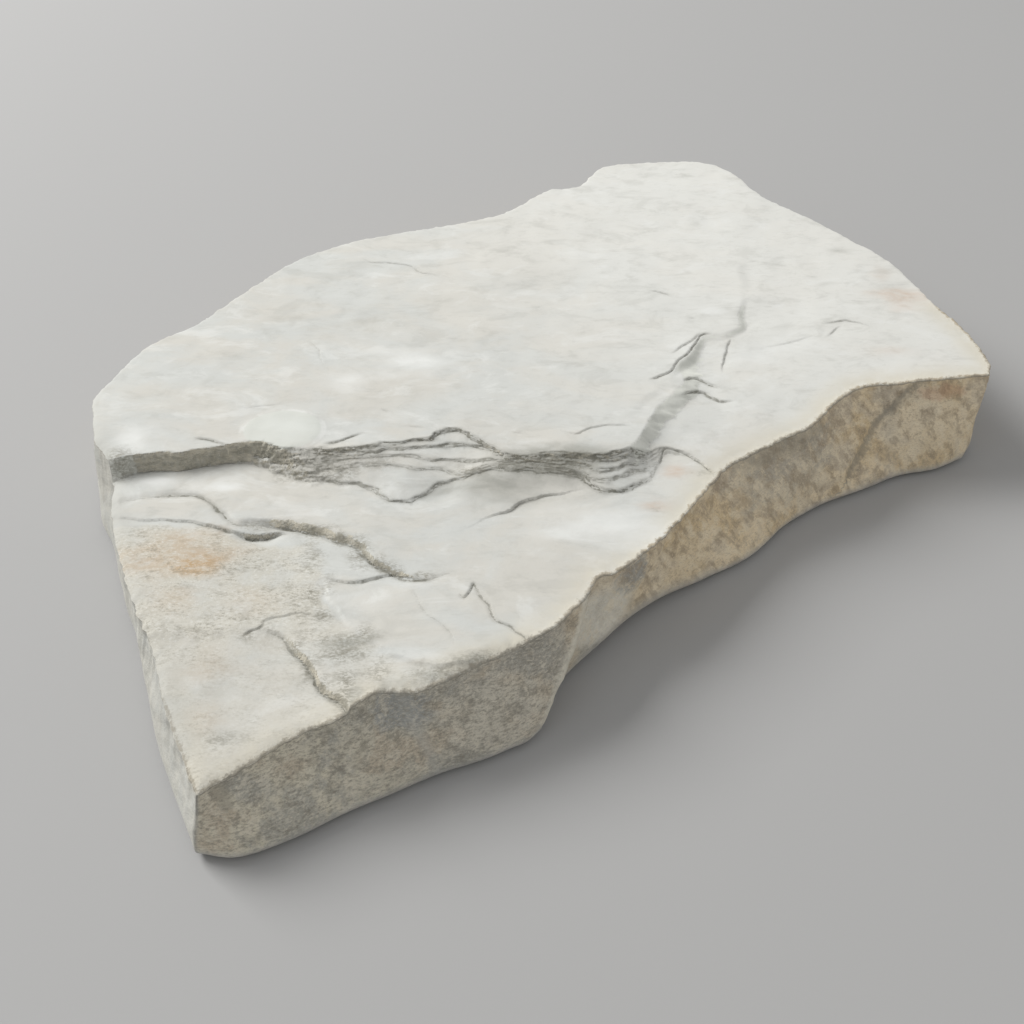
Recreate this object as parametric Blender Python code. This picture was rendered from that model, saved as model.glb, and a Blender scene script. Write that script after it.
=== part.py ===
"""A broken slab of pale, thin-bedded stone, lying flat on its lower bed.

Metres, +Z up. The origin is under the middle of the slab's box, on the plane that it rests on.
+X runs along the longest side, and -Y is the long broken side. Plan sizes below are in
millimetres and are turned into metres where the mesh is made.
"""
import math

import bpy
import numpy as np
from mathutils import Vector, noise
from mathutils.geometry import delaunay_2d_cdt

MM = 0.001

# Heights over the resting plane, in millimetres.
UPPER_BED = 50.0
LOWER_BED = 41.0

# The rim in plan: (top x, top y, foot x, foot y), anticlockwise from the front left corner.
# The foot is where the side wall stands furthest out, just above the ground.
RIM = (
    (-219, -118, -225, -121), (-207, -118, -213, -132), (-191, -118, -191, -137),
    (-176, -118, -171, -138), (-158, -122, -150, -141), (-142, -121, -137, -142),
    (-128, -129, -126, -144), (-104, -132, -115, -147), (-84, -134, -102, -149),
    (-65, -133, -93, -150), (-47, -127, -85, -148), (-37, -122, -77, -141),
    (-28, -124, -64, -133), (-3, -120, -38, -128), (21, -112, -2, -122),
    (43, -101, 26, -122), (62, -98, 52, -123), (82, -102, 77, -117),
    (97, -104, 91, -116), (117, -98, 107, -116), (136, -99, 133, -120),
    (153, -108, 150, -122), (174, -120, 167, -129), (192, -129, 185, -131),
    (200, -121, 197, -124), (210, -98, 206, -101), (215, -72, 211, -77),
    (226, -35, 220, -41), (226, -5, 222, -8), (223, 31, 217, 28),
    (218, 56, 218, 60), (222, 84, 223, 85), (217, 103, 215, 110),
    (200, 118, 203, 122), (168, 134, 169, 128), (142, 125, 143, 128),
    (123, 131, 119, 125), (87, 125, 89, 130), (54, 134, 50, 130),
    (3, 149, 8, 143), (-34, 148, -32, 149), (-93, 127, -90, 133),
    (-124, 122, -130, 124), (-162, 99, -164, 104), (-172, 73, -178, 73),
    (-174, 54, -182, 50), (-186, 27, -191, 19), (-197, -14, -199, -16),
    (-203, -48, -207, -40), (-210, -73, -215, -69), (-217, -105, -222, -102),
)
RIM_CORNERS = (0, 10, 23, 43)          # stations with a sharp arris down the wall
FOOT_ROUND = 5.0                       # radius of the worn lower edge
FOOT_ROUND_NOTCH = 12.0                # the same, beside the notch in the long side
NOTCH_ROUND_AT = (-18.0, -125.0)
NOTCH_ROUND_REACH = 60.0
RIM_ROUND = 1.4                        # how far in from the rim the top edge is worn
RIM_DROP = 1.0                         # how far the worn edge drops

# Edges of the thin beds that step down from UPPER_BED to LOWER_BED, each as its share of the
# fall and its line in plan. The high side is on the left of the line's direction.
BED_EDGES = (
    (0.26, ((-192, 63), (-174, 55), (-161, 51), (-143, 40), (-123, 32), (-115, 28), (-104, 12),
            (-94, 6), (-85, 1), (-70, 1), (-53, -1), (-45, -11), (-34, -22), (-30, -36),
            (-18, -50), (-4, -61), (6, -70), (13, -77), (26, -77), (38, -76), (43, -88),
            (45, -102), (46, -120))),
    (0.20, ((-192, 62), (-174, 54), (-161, 50), (-143, 39), (-122, 30), (-114, 26), (-104, 9),
            (-92, 4), (-78, -2), (-67, -6), (-57, -10), (-47, -18), (-38, -27), (-30, -40),
            (-19, -52), (-5, -63), (5, -72), (13, -79), (26, -79), (38, -77), (42, -89),
            (44, -102), (45, -120))),
    (0.16, ((-192, 61), (-174, 53), (-161, 49), (-143, 38), (-122, 29), (-113, 24), (-103, 7),
            (-90, 1), (-75, -3), (-67, -9), (-64, -15), (-53, -24), (-45, -29), (-37, -39),
            (-27, -49), (-15, -58), (-6, -66), (4, -76), (14, -81), (26, -80), (38, -78),
            (42, -90), (43, -102), (44, -120))),
    (0.12, ((-192, 60), (-174, 52), (-161, 48), (-143, 37), (-123, 28), (-113, 23), (-104, 5),
            (-90, -3), (-79, -5), (-74, -11), (-72, -17), (-61, -23), (-54, -31), (-45, -37),
            (-36, -43), (-25, -53), (-12, -64), (-3, -74), (6, -82), (16, -83), (27, -81),
            (37, -79), (41, -90), (43, -102), (43, -120))),
    (0.26, ((-192, 59), (-174, 51), (-164, 47), (-143, 36), (-123, 26), (-115, 21), (-110, 12),
            (-101, 1), (-97, -5), (-88, -12), (-84, -24), (-82, -33), (-76, -37), (-69, -37),
            (-62, -35), (-50, -39), (-40, -44), (-30, -52), (-20, -60), (-9, -70), (0, -80),
            (4, -85), (11, -86), (19, -85), (29, -82), (37, -80), (41, -90), (42, -102),
            (43, -120))),
)

# A shallow shell-shaped hollow opens from the ledge towards the right front. Its high side is
# cut by a branch of the ledge: a slope from a head line to a foot line that run up the slab and
# die out.
HOLLOW_AT = (45.0, -118.0)
HOLLOW_REACH = (135.0, 110.0)
HOLLOW_DEPTH = 9.6
HOLLOW_CURVE = 1.25
HOLLOW_HEAD = ((0, -104), (6, -90), (14, -77), (26, -69), (37, -63), (52, -55), (63, -51),
               (71, -49), (76, -40), (87, -33), (95, -29), (103, -26), (118, -28), (136, -18),
               (150, -2))
HOLLOW_FOOT = ((6, -104), (16, -92), (23, -79), (32, -71), (42, -67), (52, -63), (62, -60),
               (71, -57), (80, -50), (86, -42), (94, -37), (104, -34), (120, -36), (138, -26),
               (152, -10))

# Lower ledges: (x, y, drop) along each line, with the high side on the left, and how far the
# drop reaches from the line before the surface has risen again (0 for no rise).
SECOND_LEDGE = ((-182, 40, 0.5), (-165, 34, 0.6), (-154, 27, 0.8), (-146, 18, 1.0),
                (-143, 3, 1.6), (-144, -6, 3.0), (-138, -9, 3.4), (-133, -14, 3.4),
                (-127, -19, 3.3), (-121, -25, 3.3), (-115, -32, 3.2), (-110, -41, 3.0),
                (-107, -54, 2.8), (-105, -66, 2.4), (-99, -77, 1.6), (-92, -82, 0.8),
                (-82, -84, 0.0))
SIDE_LEDGE = ((-178, 30, 0.5), (-166, 20, 0.7), (-155, 12, 0.9), (-151, 4, 1.0), (-147, -7, 0.4),
              (-145, -12, 0.0))
RETURN_LEDGE = ((-128, -52, 0.0), (-125, -59, 0.8), (-120, -64, 1.0), (-113, -67, 1.0),
                (-103, -72, 0.9), (-97, -80, 0.0))
SKIN_EDGE = ((-129, -46, 0.0), (-129, -56, 1.0), (-133, -66, 1.3), (-134, -80, 1.4),
             (-132, -96, 1.4), (-127, -111, 1.4), (-119, -122, 1.3), (-108, -129, 1.2),
             (-100, -140, 1.0))
FOURTH_LEDGE = ((-166, -64, 0.0), (-159, -69, 1.2), (-157, -78, 2.0), (-157, -90, 2.2),
                (-158, -104, 2.2), (-156, -116, 2.0), (-155, -132, 1.8))
BRANCH_SLOPE = ((66, -44, 0.0), (73, -42, 0.5), (80, -39, 1.2), (88, -36, 1.4), (96, -31, 1.2),
                (104, -29, 0.5), (112, -32, 0.1), (119, -33, 1.0), (127, -27, 1.1),
                (134, -21, 0.3), (138, -17, 0.0))
LOW_LEDGES = (
    (SECOND_LEDGE, 0.0, 1.6),
    (SIDE_LEDGE, 60.0, 1.2),
    (RETURN_LEDGE, 30.0, 1.0),
    (SKIN_EDGE, 45.0, 1.6),
    (FOURTH_LEDGE, 95.0, 1.6),
    (BRANCH_SLOPE, 35.0, 5.0),
)
BED_WIDTH = 1.1                        # how wide each bed edge's riser is in plan
SMALL_DROP = 0.6                       # a lesser drop needs no points of its own

# In front of the second ledge the ground rises again to the right, from this place on.
RISE_AT = (-112.0, -36.0)
RISE_TOWARDS = (0.8, -0.6)
RISE_REACH = 75.0

# The shell-shaped scoop at the foot of the main ledge, which ends in its own thin lip.
SCOOP_LIP = ((-74, -60, 0.0), (-67, -65, 0.7), (-55, -66, 1.0), (-40, -67, 1.2), (-28, -68, 1.2),
             (-15, -74, 1.0), (-4, -77, 0.6), (2, -84, 0.0))
SCOOP_REACH = 16.0

# The small deep pocket under the second ledge: middle, length, width, depth and turn.
POCKET_AT = (-140.0, -13.0)
POCKET_SIZE = (9.0, 3.5)
POCKET_DEPTH = 1.6
POCKET_TURN = math.radians(-42)

# The left end falls away, most of all at its front corner.
END_TILT_FROM = -150.0
END_TILT = 0.03
CORNER_AT = (-222.0, -121.0)
CORNER_REACH = 64.0
CORNER_DROP = 5.0

# All of the long broken wall lies before this y.
LONG_WALL_BEFORE = -60.0

# A furrow runs slantwise down the long wall: its ends as (x, height), width and depth.
FURROW_ENDS = ((148.0, 50.0), (109.0, 15.0))
FURROW_WIDTH = 5.0
FURROW_DEPTH = 2.4

# Right of the notch's sharp arris, the long wall is scooped out: (x, height) of the middle,
# half length and half height, and depth.
NOTCH_SCOOP_AT = (-38.0, 22.0)
NOTCH_SCOOP_SIZE = (30.0, 20.0)
NOTCH_SCOOP_DEPTH = 5.0

# Relief that follows no line, as (size across, depth): the top's broad swell and its small
# unevenness, how far ledge lines wander, the rim's waves and the lumps of the walls.
SWELL = (90.0, 0.9)
UNEVENNESS = (22.0, 0.3)
WANDER = (14.0, 1.6)
RIM_WAVES = (30.0, 0.7)
WALL_LUMPS = (26.0, 1.2)

# Faceting: the spacing of points along the rim, beside the ledges and on open ground, how
# wide the strip beside a ledge is, and the rings of points down the wall and its foot.
RIM_STEP = 6.4
LEDGE_STEP = 3.0
LEDGE_BAND = 2.6
OPEN_STEP = 9.5
WALL_LEVELS = 6
FOOT_LEVELS = 2
CURVE_POINTS = 4
NOISE_START = 17.0
NOISE_START_ACROSS = 300.0
NO_POINTS = np.empty((0, 2))


def smooth_step(value):
    """0 below zero, 1 above one, and an S-curve between."""
    clipped = np.clip(value, 0.0, 1.0)
    return clipped * clipped * (3.0 - 2.0 * clipped)


def curve_through(points, per_span):
    """Points on a smooth open curve through the given points, in any number of columns."""
    ends = np.vstack([2 * points[0] - points[1], points, 2 * points[-1] - points[-2]])
    share = np.linspace(0.0, 1.0, per_span, endpoint=False)[:, None]
    spans = []
    for before, start, stop, after in zip(ends, ends[1:], ends[2:], ends[3:]):
        bend = 2 * before - 5 * start + 4 * stop - after
        twist = 3 * start - before - 3 * stop + after
        spans.append(0.5 * (2 * start + (stop - before) * share + bend * share ** 2
                            + twist * share ** 3))
    return np.vstack(spans + [points[-1:]])


def side_of(place, line):
    """Signed distance from a line, positive on its right."""
    best = np.full(len(place), np.inf)
    signed = np.zeros(len(place))
    for start, stop in zip(line[:-1, :2], line[1:, :2]):
        run = stop - start
        share = np.clip((place - start) @ run / (run @ run), 0.0, 1.0)
        offset = place - start - share[:, None] * run
        distance = np.hypot(offset[:, 0], offset[:, 1])
        nearer = distance < best
        right = np.where(run[1] * offset[:, 0] - run[0] * offset[:, 1] >= 0.0, 1.0, -1.0)
        best = np.where(nearer, distance, best)
        signed = np.where(nearer, right * distance, signed)
    return signed


def drop_near(place, line):
    """The drop written in a line's third column, blended over the nearest parts of the line."""
    total = np.zeros(len(place))
    weights = np.zeros(len(place))
    for middle in 0.5 * (line[:-1] + line[1:]):
        offset = place - middle[:2]
        weight = (offset[:, 0] ** 2 + offset[:, 1] ** 2 + 1.0) ** -2
        total += weight * middle[2]
        weights += weight
    return total / weights


def relief(place, size_and_depth, octaves=2):
    """Soft random relief over points with two or three columns."""
    size, depth = size_and_depth
    spots = place / size + NOISE_START
    if place.shape[1] == 2:
        spots = np.column_stack([spots, np.zeros(len(spots))])
    values = [noise.fractal(Vector(spot), 1.0, 2.0, octaves) for spot in spots]
    return depth * np.array(values)


def wander(place):
    """The places moved about a little, which makes a ledge's line ragged."""
    across = relief(place, WANDER)
    along = relief(place + NOISE_START_ACROSS, WANDER)
    return place + np.column_stack([across, along])


def smooth_line(points):
    """A ledge's smooth line through the points that give its course."""
    return curve_through(np.array(points, float), CURVE_POINTS)


def upper_ground(place, spot):
    """The upper bed with the hollow sunk into it, and the distance to the hollow's edge."""
    out = np.hypot(*((place - HOLLOW_AT) / HOLLOW_REACH).T)
    sunk = HOLLOW_DEPTH * np.clip(1.0 - out, 0.0, 1.0) ** HOLLOW_CURVE
    past_head = side_of(spot, smooth_line(HOLLOW_HEAD))
    past_foot = side_of(spot, smooth_line(HOLLOW_FOOT))
    width = np.maximum(past_head - past_foot, BED_WIDTH)
    cut = np.where(past_foot > 0.0, 1.0, np.clip(past_head / width, 0.0, 1.0))
    nearest = np.minimum(np.abs(past_head), np.abs(past_foot))
    return UPPER_BED - sunk * cut, np.where(sunk > SMALL_DROP, nearest, np.inf)


def main_fall(spot):
    """How much of the main ledge's fall is done, from 0 to 1, and the distance to it."""
    fall = np.zeros(len(spot))
    nearest = np.full(len(spot), np.inf)
    for share, points in BED_EDGES:
        signed = side_of(spot, smooth_line(points))
        fall += share * smooth_step(signed / BED_WIDTH + 0.5)
        nearest = np.minimum(nearest, np.abs(signed))
    return fall, nearest


def low_drops(place, spot):
    """How far the lower ledges drop the ground, and the distance to them."""
    total = np.zeros(len(place))
    nearest = np.full(len(place), np.inf)
    risen = smooth_step((place - RISE_AT) @ RISE_TOWARDS / RISE_REACH)
    for points, reach, width in LOW_LEDGES:
        line = smooth_line(points)
        signed = side_of(spot, line)
        drop = drop_near(spot, line)
        fade = smooth_step(signed / reach) if reach > 0.0 else risen
        total += drop * smooth_step(signed / width + 0.5) * (1.0 - fade)
        close = np.where(drop > SMALL_DROP, np.abs(signed), np.inf)
        nearest = np.minimum(nearest, close)
    return total, nearest


def scoop_rise(spot):
    """How far the scoop's floor rises towards its thin lip."""
    line = smooth_line(SCOOP_LIP)
    signed = side_of(spot, line)
    behind = smooth_step(0.5 - signed / BED_WIDTH) * (1.0 - smooth_step(-signed / SCOOP_REACH))
    return drop_near(spot, line) * behind


def pocket(place):
    """How deep the small pocket under the second ledge is."""
    along = np.array((math.cos(POCKET_TURN), math.sin(POCKET_TURN)))
    across = np.array((-along[1], along[0]))
    turned = np.column_stack([(place - POCKET_AT) @ along, (place - POCKET_AT) @ across])
    return POCKET_DEPTH * (1.0 - smooth_step(np.hypot(*(turned / POCKET_SIZE).T)))


def end_fall(place):
    """How far the left end and its front corner fall away."""
    tilt = END_TILT * np.clip(END_TILT_FROM - place[:, 0], 0.0, None)
    corner = np.hypot(*(place - CORNER_AT).T) / CORNER_REACH
    return tilt + CORNER_DROP * np.clip(1.0 - corner, 0.0, 1.0)


def top_height(place):
    """Height of the slab's upper surface over places in plan, and the distance to a ledge."""
    spot = wander(place)
    upper, to_hollow = upper_ground(place, spot)
    fall, to_main = main_fall(spot)
    drops, to_low = low_drops(place, spot)
    height = upper + (LOWER_BED - upper) * fall
    height += scoop_rise(spot) * fall - drops - pocket(place) - end_fall(place)
    height += relief(place, SWELL) + relief(place, UNEVENNESS)
    return height, np.minimum(np.minimum(to_hollow, to_main), to_low)


def rim_curve():
    """The rim's top and foot points, evenly spaced, with corners kept sharp."""
    closed = np.array(RIM + RIM[:1], float)
    corners = RIM_CORNERS + (len(RIM),)
    pieces = []
    for start, stop in zip(corners, corners[1:]):
        curve = curve_through(closed[start:stop + 1], 12)
        length = np.concatenate([[0.0], np.cumsum(np.hypot(*np.diff(curve[:, :2], axis=0).T))])
        count = max(2, round(length[-1] / RIM_STEP))
        even = np.linspace(0.0, length[-1], count, endpoint=False)
        pieces.append(np.column_stack([np.interp(even, length, column) for column in curve.T]))
    return np.vstack(pieces)


def outward(ring):
    """Unit vectors that point out of an anticlockwise ring in plan."""
    along = np.roll(ring, -1, axis=0) - np.roll(ring, 1, axis=0)
    along /= np.hypot(*along.T)[:, None]
    return np.column_stack([along[:, 1], -along[:, 0]])


def long_wall_cuts(points):
    """How far the slanting furrow and the notch's scoop cut into the long wall."""
    face = points[:, [0, 2]]
    start, stop = np.array(FURROW_ENDS)
    run = stop - start
    share = np.clip((face - start) @ run / (run @ run), 0.0, 1.0)
    distance = np.hypot(*(face - start - share[:, None] * run).T)
    depth = FURROW_DEPTH * (1.0 - smooth_step(distance / FURROW_WIDTH))
    middle = np.hypot(*((face - NOTCH_SCOOP_AT) / NOTCH_SCOOP_SIZE).T)
    depth += NOTCH_SCOOP_DEPTH * (1.0 - smooth_step(middle))
    return np.where(points[:, 1] < LONG_WALL_BEFORE, depth, 0.0)


def wall_rings():
    """Rings of points from the rim down to the flat lower face."""
    rim = rim_curve()
    top, foot = rim[:, :2], rim[:, 2:]
    out = outward(top)
    wave = relief(top, RIM_WAVES)[:, None]
    top = top + out * wave
    foot = foot + out * wave
    height = top_height(top)[0] - RIM_DROP
    near = 1.0 - smooth_step(np.hypot(*(foot - NOTCH_ROUND_AT).T) / NOTCH_ROUND_REACH)
    radius = FOOT_ROUND + (FOOT_ROUND_NOTCH - FOOT_ROUND) * near
    rings = [np.column_stack([top, height])]
    for level in range(1, WALL_LEVELS + 1):
        share = level / WALL_LEVELS
        lean = 0.5 * (share + smooth_step(share))
        plan = top + (foot - top) * lean
        ring = np.column_stack([plan, height + (radius - height) * share])
        bumps = relief(ring, WALL_LUMPS) - long_wall_cuts(ring)
        ring[:, :2] += out * (bumps * math.sin(math.pi * share) ** 0.5)[:, None]
        rings.append(ring)
    for level in range(1, FOOT_LEVELS + 1):
        angle = 0.5 * math.pi * level / FOOT_LEVELS
        plan = rings[WALL_LEVELS][:, :2] - out * (radius * (1.0 - math.cos(angle)))[:, None]
        rings.append(np.column_stack([plan, radius * (1.0 - math.sin(angle))]))
    return rings


def grid_points(ring, step):
    """A staggered grid over a ring's box, each point shifted a little off its place."""
    low, high = ring.min(axis=0), ring.max(axis=0)
    columns = np.arange(low[0], high[0], step)
    rows = np.arange(low[1], high[1], step * math.sqrt(0.75))
    x, y = np.meshgrid(columns, rows)
    x = x + 0.5 * step * (np.arange(len(rows)) % 2)[:, None]
    random = np.random.default_rng(5)
    shift = random.uniform(-0.2, 0.2, (x.size, 2)) * step
    return np.column_stack([x.ravel(), y.ravel()]) + shift


def inside(place, ring):
    """Signed distance inwards from a closed anticlockwise ring."""
    closed = np.vstack([ring, ring[:1]])
    return -side_of(place, closed)


def triangulate(ring, extra):
    """Triangles over a ring's inside, which use the ring's points and the extra ones."""
    points = np.vstack([ring, extra])
    border = [list(range(len(ring)))]
    result = delaunay_2d_cdt([Vector(point) for point in points], [], border, 1, 1e-6)
    return [tuple(face) for face in result[2]]


def points_inside(ring, step):
    """Grid points well inside a ring."""
    points = grid_points(ring, step)
    return points[inside(points, ring) > 0.5 * step]


def top_points(rim):
    """Points of the upper surface: close together beside the ledges, and wide elsewhere."""
    close = points_inside(rim, LEDGE_STEP)
    close = close[top_height(close)[1] < LEDGE_BAND]
    wide = points_inside(rim, OPEN_STEP)
    wide = wide[top_height(wide)[1] > LEDGE_BAND + 0.35 * OPEN_STEP]
    plan = np.vstack([close, wide])
    height = top_height(plan)[0]
    height -= RIM_DROP * (1.0 - smooth_step(inside(plan, rim) / RIM_ROUND))
    return np.column_stack([plan, height])


def build_mesh():
    """The closed slab: top, walls and flat lower face."""
    rings = wall_rings()
    count = len(rings[0])
    rim = rings[0][:, :2]
    top = top_points(rim)
    vertices = np.vstack(rings + [top])

    faces = []
    top_start = count * len(rings)
    for face in triangulate(rim, top[:, :2]):
        faces.append(tuple(i if i < count else i - count + top_start for i in face))
    for level in range(len(rings) - 1):
        above, below = level * count, (level + 1) * count
        for i in range(count):
            j = (i + 1) % count
            faces.append((above + i, below + i, below + j))
            faces.append((above + i, below + j, above + j))
    base = count * (len(rings) - 1)
    for face in triangulate(rings[-1][:, :2], NO_POINTS):
        faces.append(tuple(base + i for i in reversed(face)))

    mesh = bpy.data.meshes.new("slab")
    mesh.from_pydata((vertices * MM).tolist(), [], faces)
    mesh.validate()
    mesh.update()
    return mesh


def pale_stone():
    """Warm grey-white stone, dull and not metallic."""
    material = bpy.data.materials.new("pale stone")
    material.use_nodes = True
    shader = material.node_tree.nodes["Principled BSDF"]
    shader.inputs["Base Color"].default_value = (0.60, 0.58, 0.53, 1.0)
    shader.inputs["Roughness"].default_value = 0.85
    shader.inputs["Metallic"].default_value = 0.0
    return material


for old in list(bpy.data.objects):
    bpy.data.objects.remove(old, do_unlink=True)

slab = bpy.data.objects.new("slab", build_mesh())
slab.data.materials.append(pale_stone())
bpy.context.scene.collection.objects.link(slab)
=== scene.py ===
"""A broken slab of pale, thin-bedded siltstone that lies flat on its lower bed.

The slab is one stone. Its places are written in millimetres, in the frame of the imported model,
and become metres where its mesh is made.
"""
import math

import bpy
import numpy as np
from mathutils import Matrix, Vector, kdtree, noise
from mathutils.geometry import delaunay_2d_cdt


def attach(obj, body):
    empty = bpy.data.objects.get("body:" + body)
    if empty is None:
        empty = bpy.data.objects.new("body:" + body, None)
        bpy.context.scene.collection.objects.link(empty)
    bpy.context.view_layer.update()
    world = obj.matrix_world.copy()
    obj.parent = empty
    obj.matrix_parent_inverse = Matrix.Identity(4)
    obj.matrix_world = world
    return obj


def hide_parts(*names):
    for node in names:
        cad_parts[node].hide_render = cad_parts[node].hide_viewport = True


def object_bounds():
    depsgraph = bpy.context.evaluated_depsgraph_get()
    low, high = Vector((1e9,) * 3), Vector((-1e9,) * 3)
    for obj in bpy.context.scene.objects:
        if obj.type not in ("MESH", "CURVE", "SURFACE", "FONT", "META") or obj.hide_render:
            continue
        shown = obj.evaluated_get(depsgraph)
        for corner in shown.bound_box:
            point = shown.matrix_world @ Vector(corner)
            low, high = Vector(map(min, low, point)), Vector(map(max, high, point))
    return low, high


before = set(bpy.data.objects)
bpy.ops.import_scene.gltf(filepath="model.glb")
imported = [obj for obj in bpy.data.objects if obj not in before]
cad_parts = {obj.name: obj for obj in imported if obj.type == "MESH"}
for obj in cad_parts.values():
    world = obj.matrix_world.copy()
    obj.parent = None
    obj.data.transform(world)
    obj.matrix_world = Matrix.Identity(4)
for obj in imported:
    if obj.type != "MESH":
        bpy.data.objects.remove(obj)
cad_low, cad_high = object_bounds()

# --- Slab: its broken edge ---------------------------------------------------------------------
# One stone, split out of its layer along two beds. The edge all round is a rough break that
# leans outwards towards the ground, and its lower arris is worn round.

MM = 0.001

# The rim in plan: (top x, top y, foot x, foot y), anticlockwise from the front left corner.
# The foot is where the side wall stands furthest out, just above the ground.
RIM = (
    (-219, -118, -225, -121), (-207, -118, -213, -132), (-191, -118, -191, -137),
    (-176, -118, -171, -138), (-158, -122, -150, -141), (-142, -121, -137, -142),
    (-128, -129, -126, -144), (-104, -132, -115, -147), (-84, -134, -102, -149),
    (-65, -133, -93, -150), (-47, -127, -85, -148), (-37, -122, -77, -141),
    (-28, -124, -64, -133), (-3, -120, -38, -128), (21, -112, -2, -122),
    (42, -104.5, 26, -122), (60, -102, 52, -123), (82, -103, 77, -117),
    (98, -105, 91, -116), (116, -100.5, 107, -116), (136, -99, 133, -120),
    (153, -108, 150, -122), (174, -120, 167, -129), (192, -129, 185, -131),
    (200, -121, 197, -124), (210, -98, 206, -101), (215, -72, 211, -77),
    (226, -35, 220, -41), (226, -5, 222, -8), (223, 31, 217, 28),
    (218, 56, 218, 60), (222, 84, 223, 85), (217, 103, 215, 110),
    (200, 118, 203, 122), (168, 134, 169, 128), (142, 125, 143, 128),
    (123, 131, 119, 125), (87, 125, 89, 130), (54, 134, 50, 130),
    (3, 149, 8, 143), (-34, 148, -32, 149), (-93, 127, -90, 133),
    (-124, 122, -130, 124), (-162, 99, -164, 104), (-172, 73, -178, 73),
    (-174, 54, -182, 50), (-186, 27, -191, 19), (-197, -14, -199, -16),
    (-203, -48, -207, -40), (-210, -73, -215, -69), (-217, -105, -222, -102),
)
RIM_CORNERS = (0, 10, 23, 43)          # stations with a sharp arris down the wall
RIM_CURVE_POINTS = 12                  # points of the curve between two stations
RIM_STEP = 1.2                         # between the rim's points
RIM_WAVES = (30.0, 0.7)                # relief is written as (size across, depth)
RIM_CHIPS = (5.0, 0.7)
RIM_NICKS = (2.4, 0.45)
CALM_SPAN = 10                         # points to each side that steady the foot's direction
NOISE_START = 17.0                     # the relief is read this far from the noise's middle
NOISE_START_ACROSS = 300.0             # and this far on for a second, separate relief


def smooth_step(value):
    """0 below zero, 1 above one, and an S-curve between."""
    clipped = np.clip(value, 0.0, 1.0)
    return clipped * clipped * (3.0 - 2.0 * clipped)


def curve_through(points, per_span):
    """Points on a smooth open curve through the given points, in any number of columns."""
    ends = np.vstack([2 * points[0] - points[1], points, 2 * points[-1] - points[-2]])
    share = np.linspace(0.0, 1.0, per_span, endpoint=False)[:, None]
    spans = []
    for before, start, stop, after in zip(ends, ends[1:], ends[2:], ends[3:]):
        bend = 2 * before - 5 * start + 4 * stop - after
        twist = 3 * start - before - 3 * stop + after
        spans.append(0.5 * (2 * start + (stop - before) * share + bend * share ** 2
                            + twist * share ** 3))
    return np.vstack(spans + [points[-1:]])


def relief(place, size_and_depth, octaves=2):
    """Soft random relief over points with two or three columns."""
    size, depth = size_and_depth
    spots = place / size + NOISE_START
    if place.shape[1] == 2:
        spots = np.column_stack([spots, np.zeros(len(spots))])
    values = [noise.fractal(Vector(spot), 1.0, 2.0, octaves) for spot in spots.tolist()]
    return depth * np.array(values)


def length_along(line):
    """How far along a line in plan each of its points lies."""
    return np.concatenate([[0.0], np.cumsum(np.hypot(*np.diff(line[:, :2], axis=0).T))])


def points_at(line, length, wanted):
    """The places at the wanted lengths along a line."""
    return np.column_stack([np.interp(wanted, length, column) for column in line.T])


def right_of(steps):
    """Unit vectors to the right of the given steps in plan."""
    along = steps / np.hypot(*steps.T)[:, None]
    return np.column_stack([along[:, 1], -along[:, 0]])


def rim_curve():
    """The rim's top and foot points, evenly spaced, with corners kept sharp."""
    closed = np.array(RIM + RIM[:1], float)
    corners = RIM_CORNERS + (len(RIM),)
    pieces = []
    for start, stop in zip(corners, corners[1:]):
        curve = curve_through(closed[start:stop + 1], RIM_CURVE_POINTS)
        length = length_along(curve)
        steps = max(2, round(length[-1] / RIM_STEP))
        even = np.linspace(0.0, length[-1], steps, endpoint=False)
        pieces.append(points_at(curve, length, even))
    return np.vstack(pieces)


def outward(ring):
    """Unit vectors that point out of an anticlockwise ring in plan."""
    return right_of(np.roll(ring, -1, axis=0) - np.roll(ring, 1, axis=0))


def calmed(directions):
    """Directions round a ring, each averaged with its neighbours."""
    total = sum(np.roll(directions, shift, axis=0) for shift in range(-CALM_SPAN, CALM_SPAN + 1))
    return total / np.hypot(*total.T)[:, None]


rim = rim_curve()
rim_top, rim_foot = rim[:, :2], rim[:, 2:]
rim_out = outward(rim_top)
foot_out = calmed(outward(rim_foot))
rim_wave = relief(rim_top, RIM_WAVES)[:, None]
rim_foot = rim_foot + rim_out * rim_wave
rim_chips = relief(rim_top, RIM_CHIPS, 3) + relief(rim_top, RIM_NICKS)
rim_top = rim_top + rim_out * (rim_wave + rim_chips[:, None])

# --- Slab: the beds of its upper face ----------------------------------------------------------
# The stone splits along beds a few tenths of a millimetre to a few millimetres thick. Each bed
# ends in a ragged step, and the steps lie close together in the main ledge.

UPPER_BED = 50.0
LOWER_BED = 41.0

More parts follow.
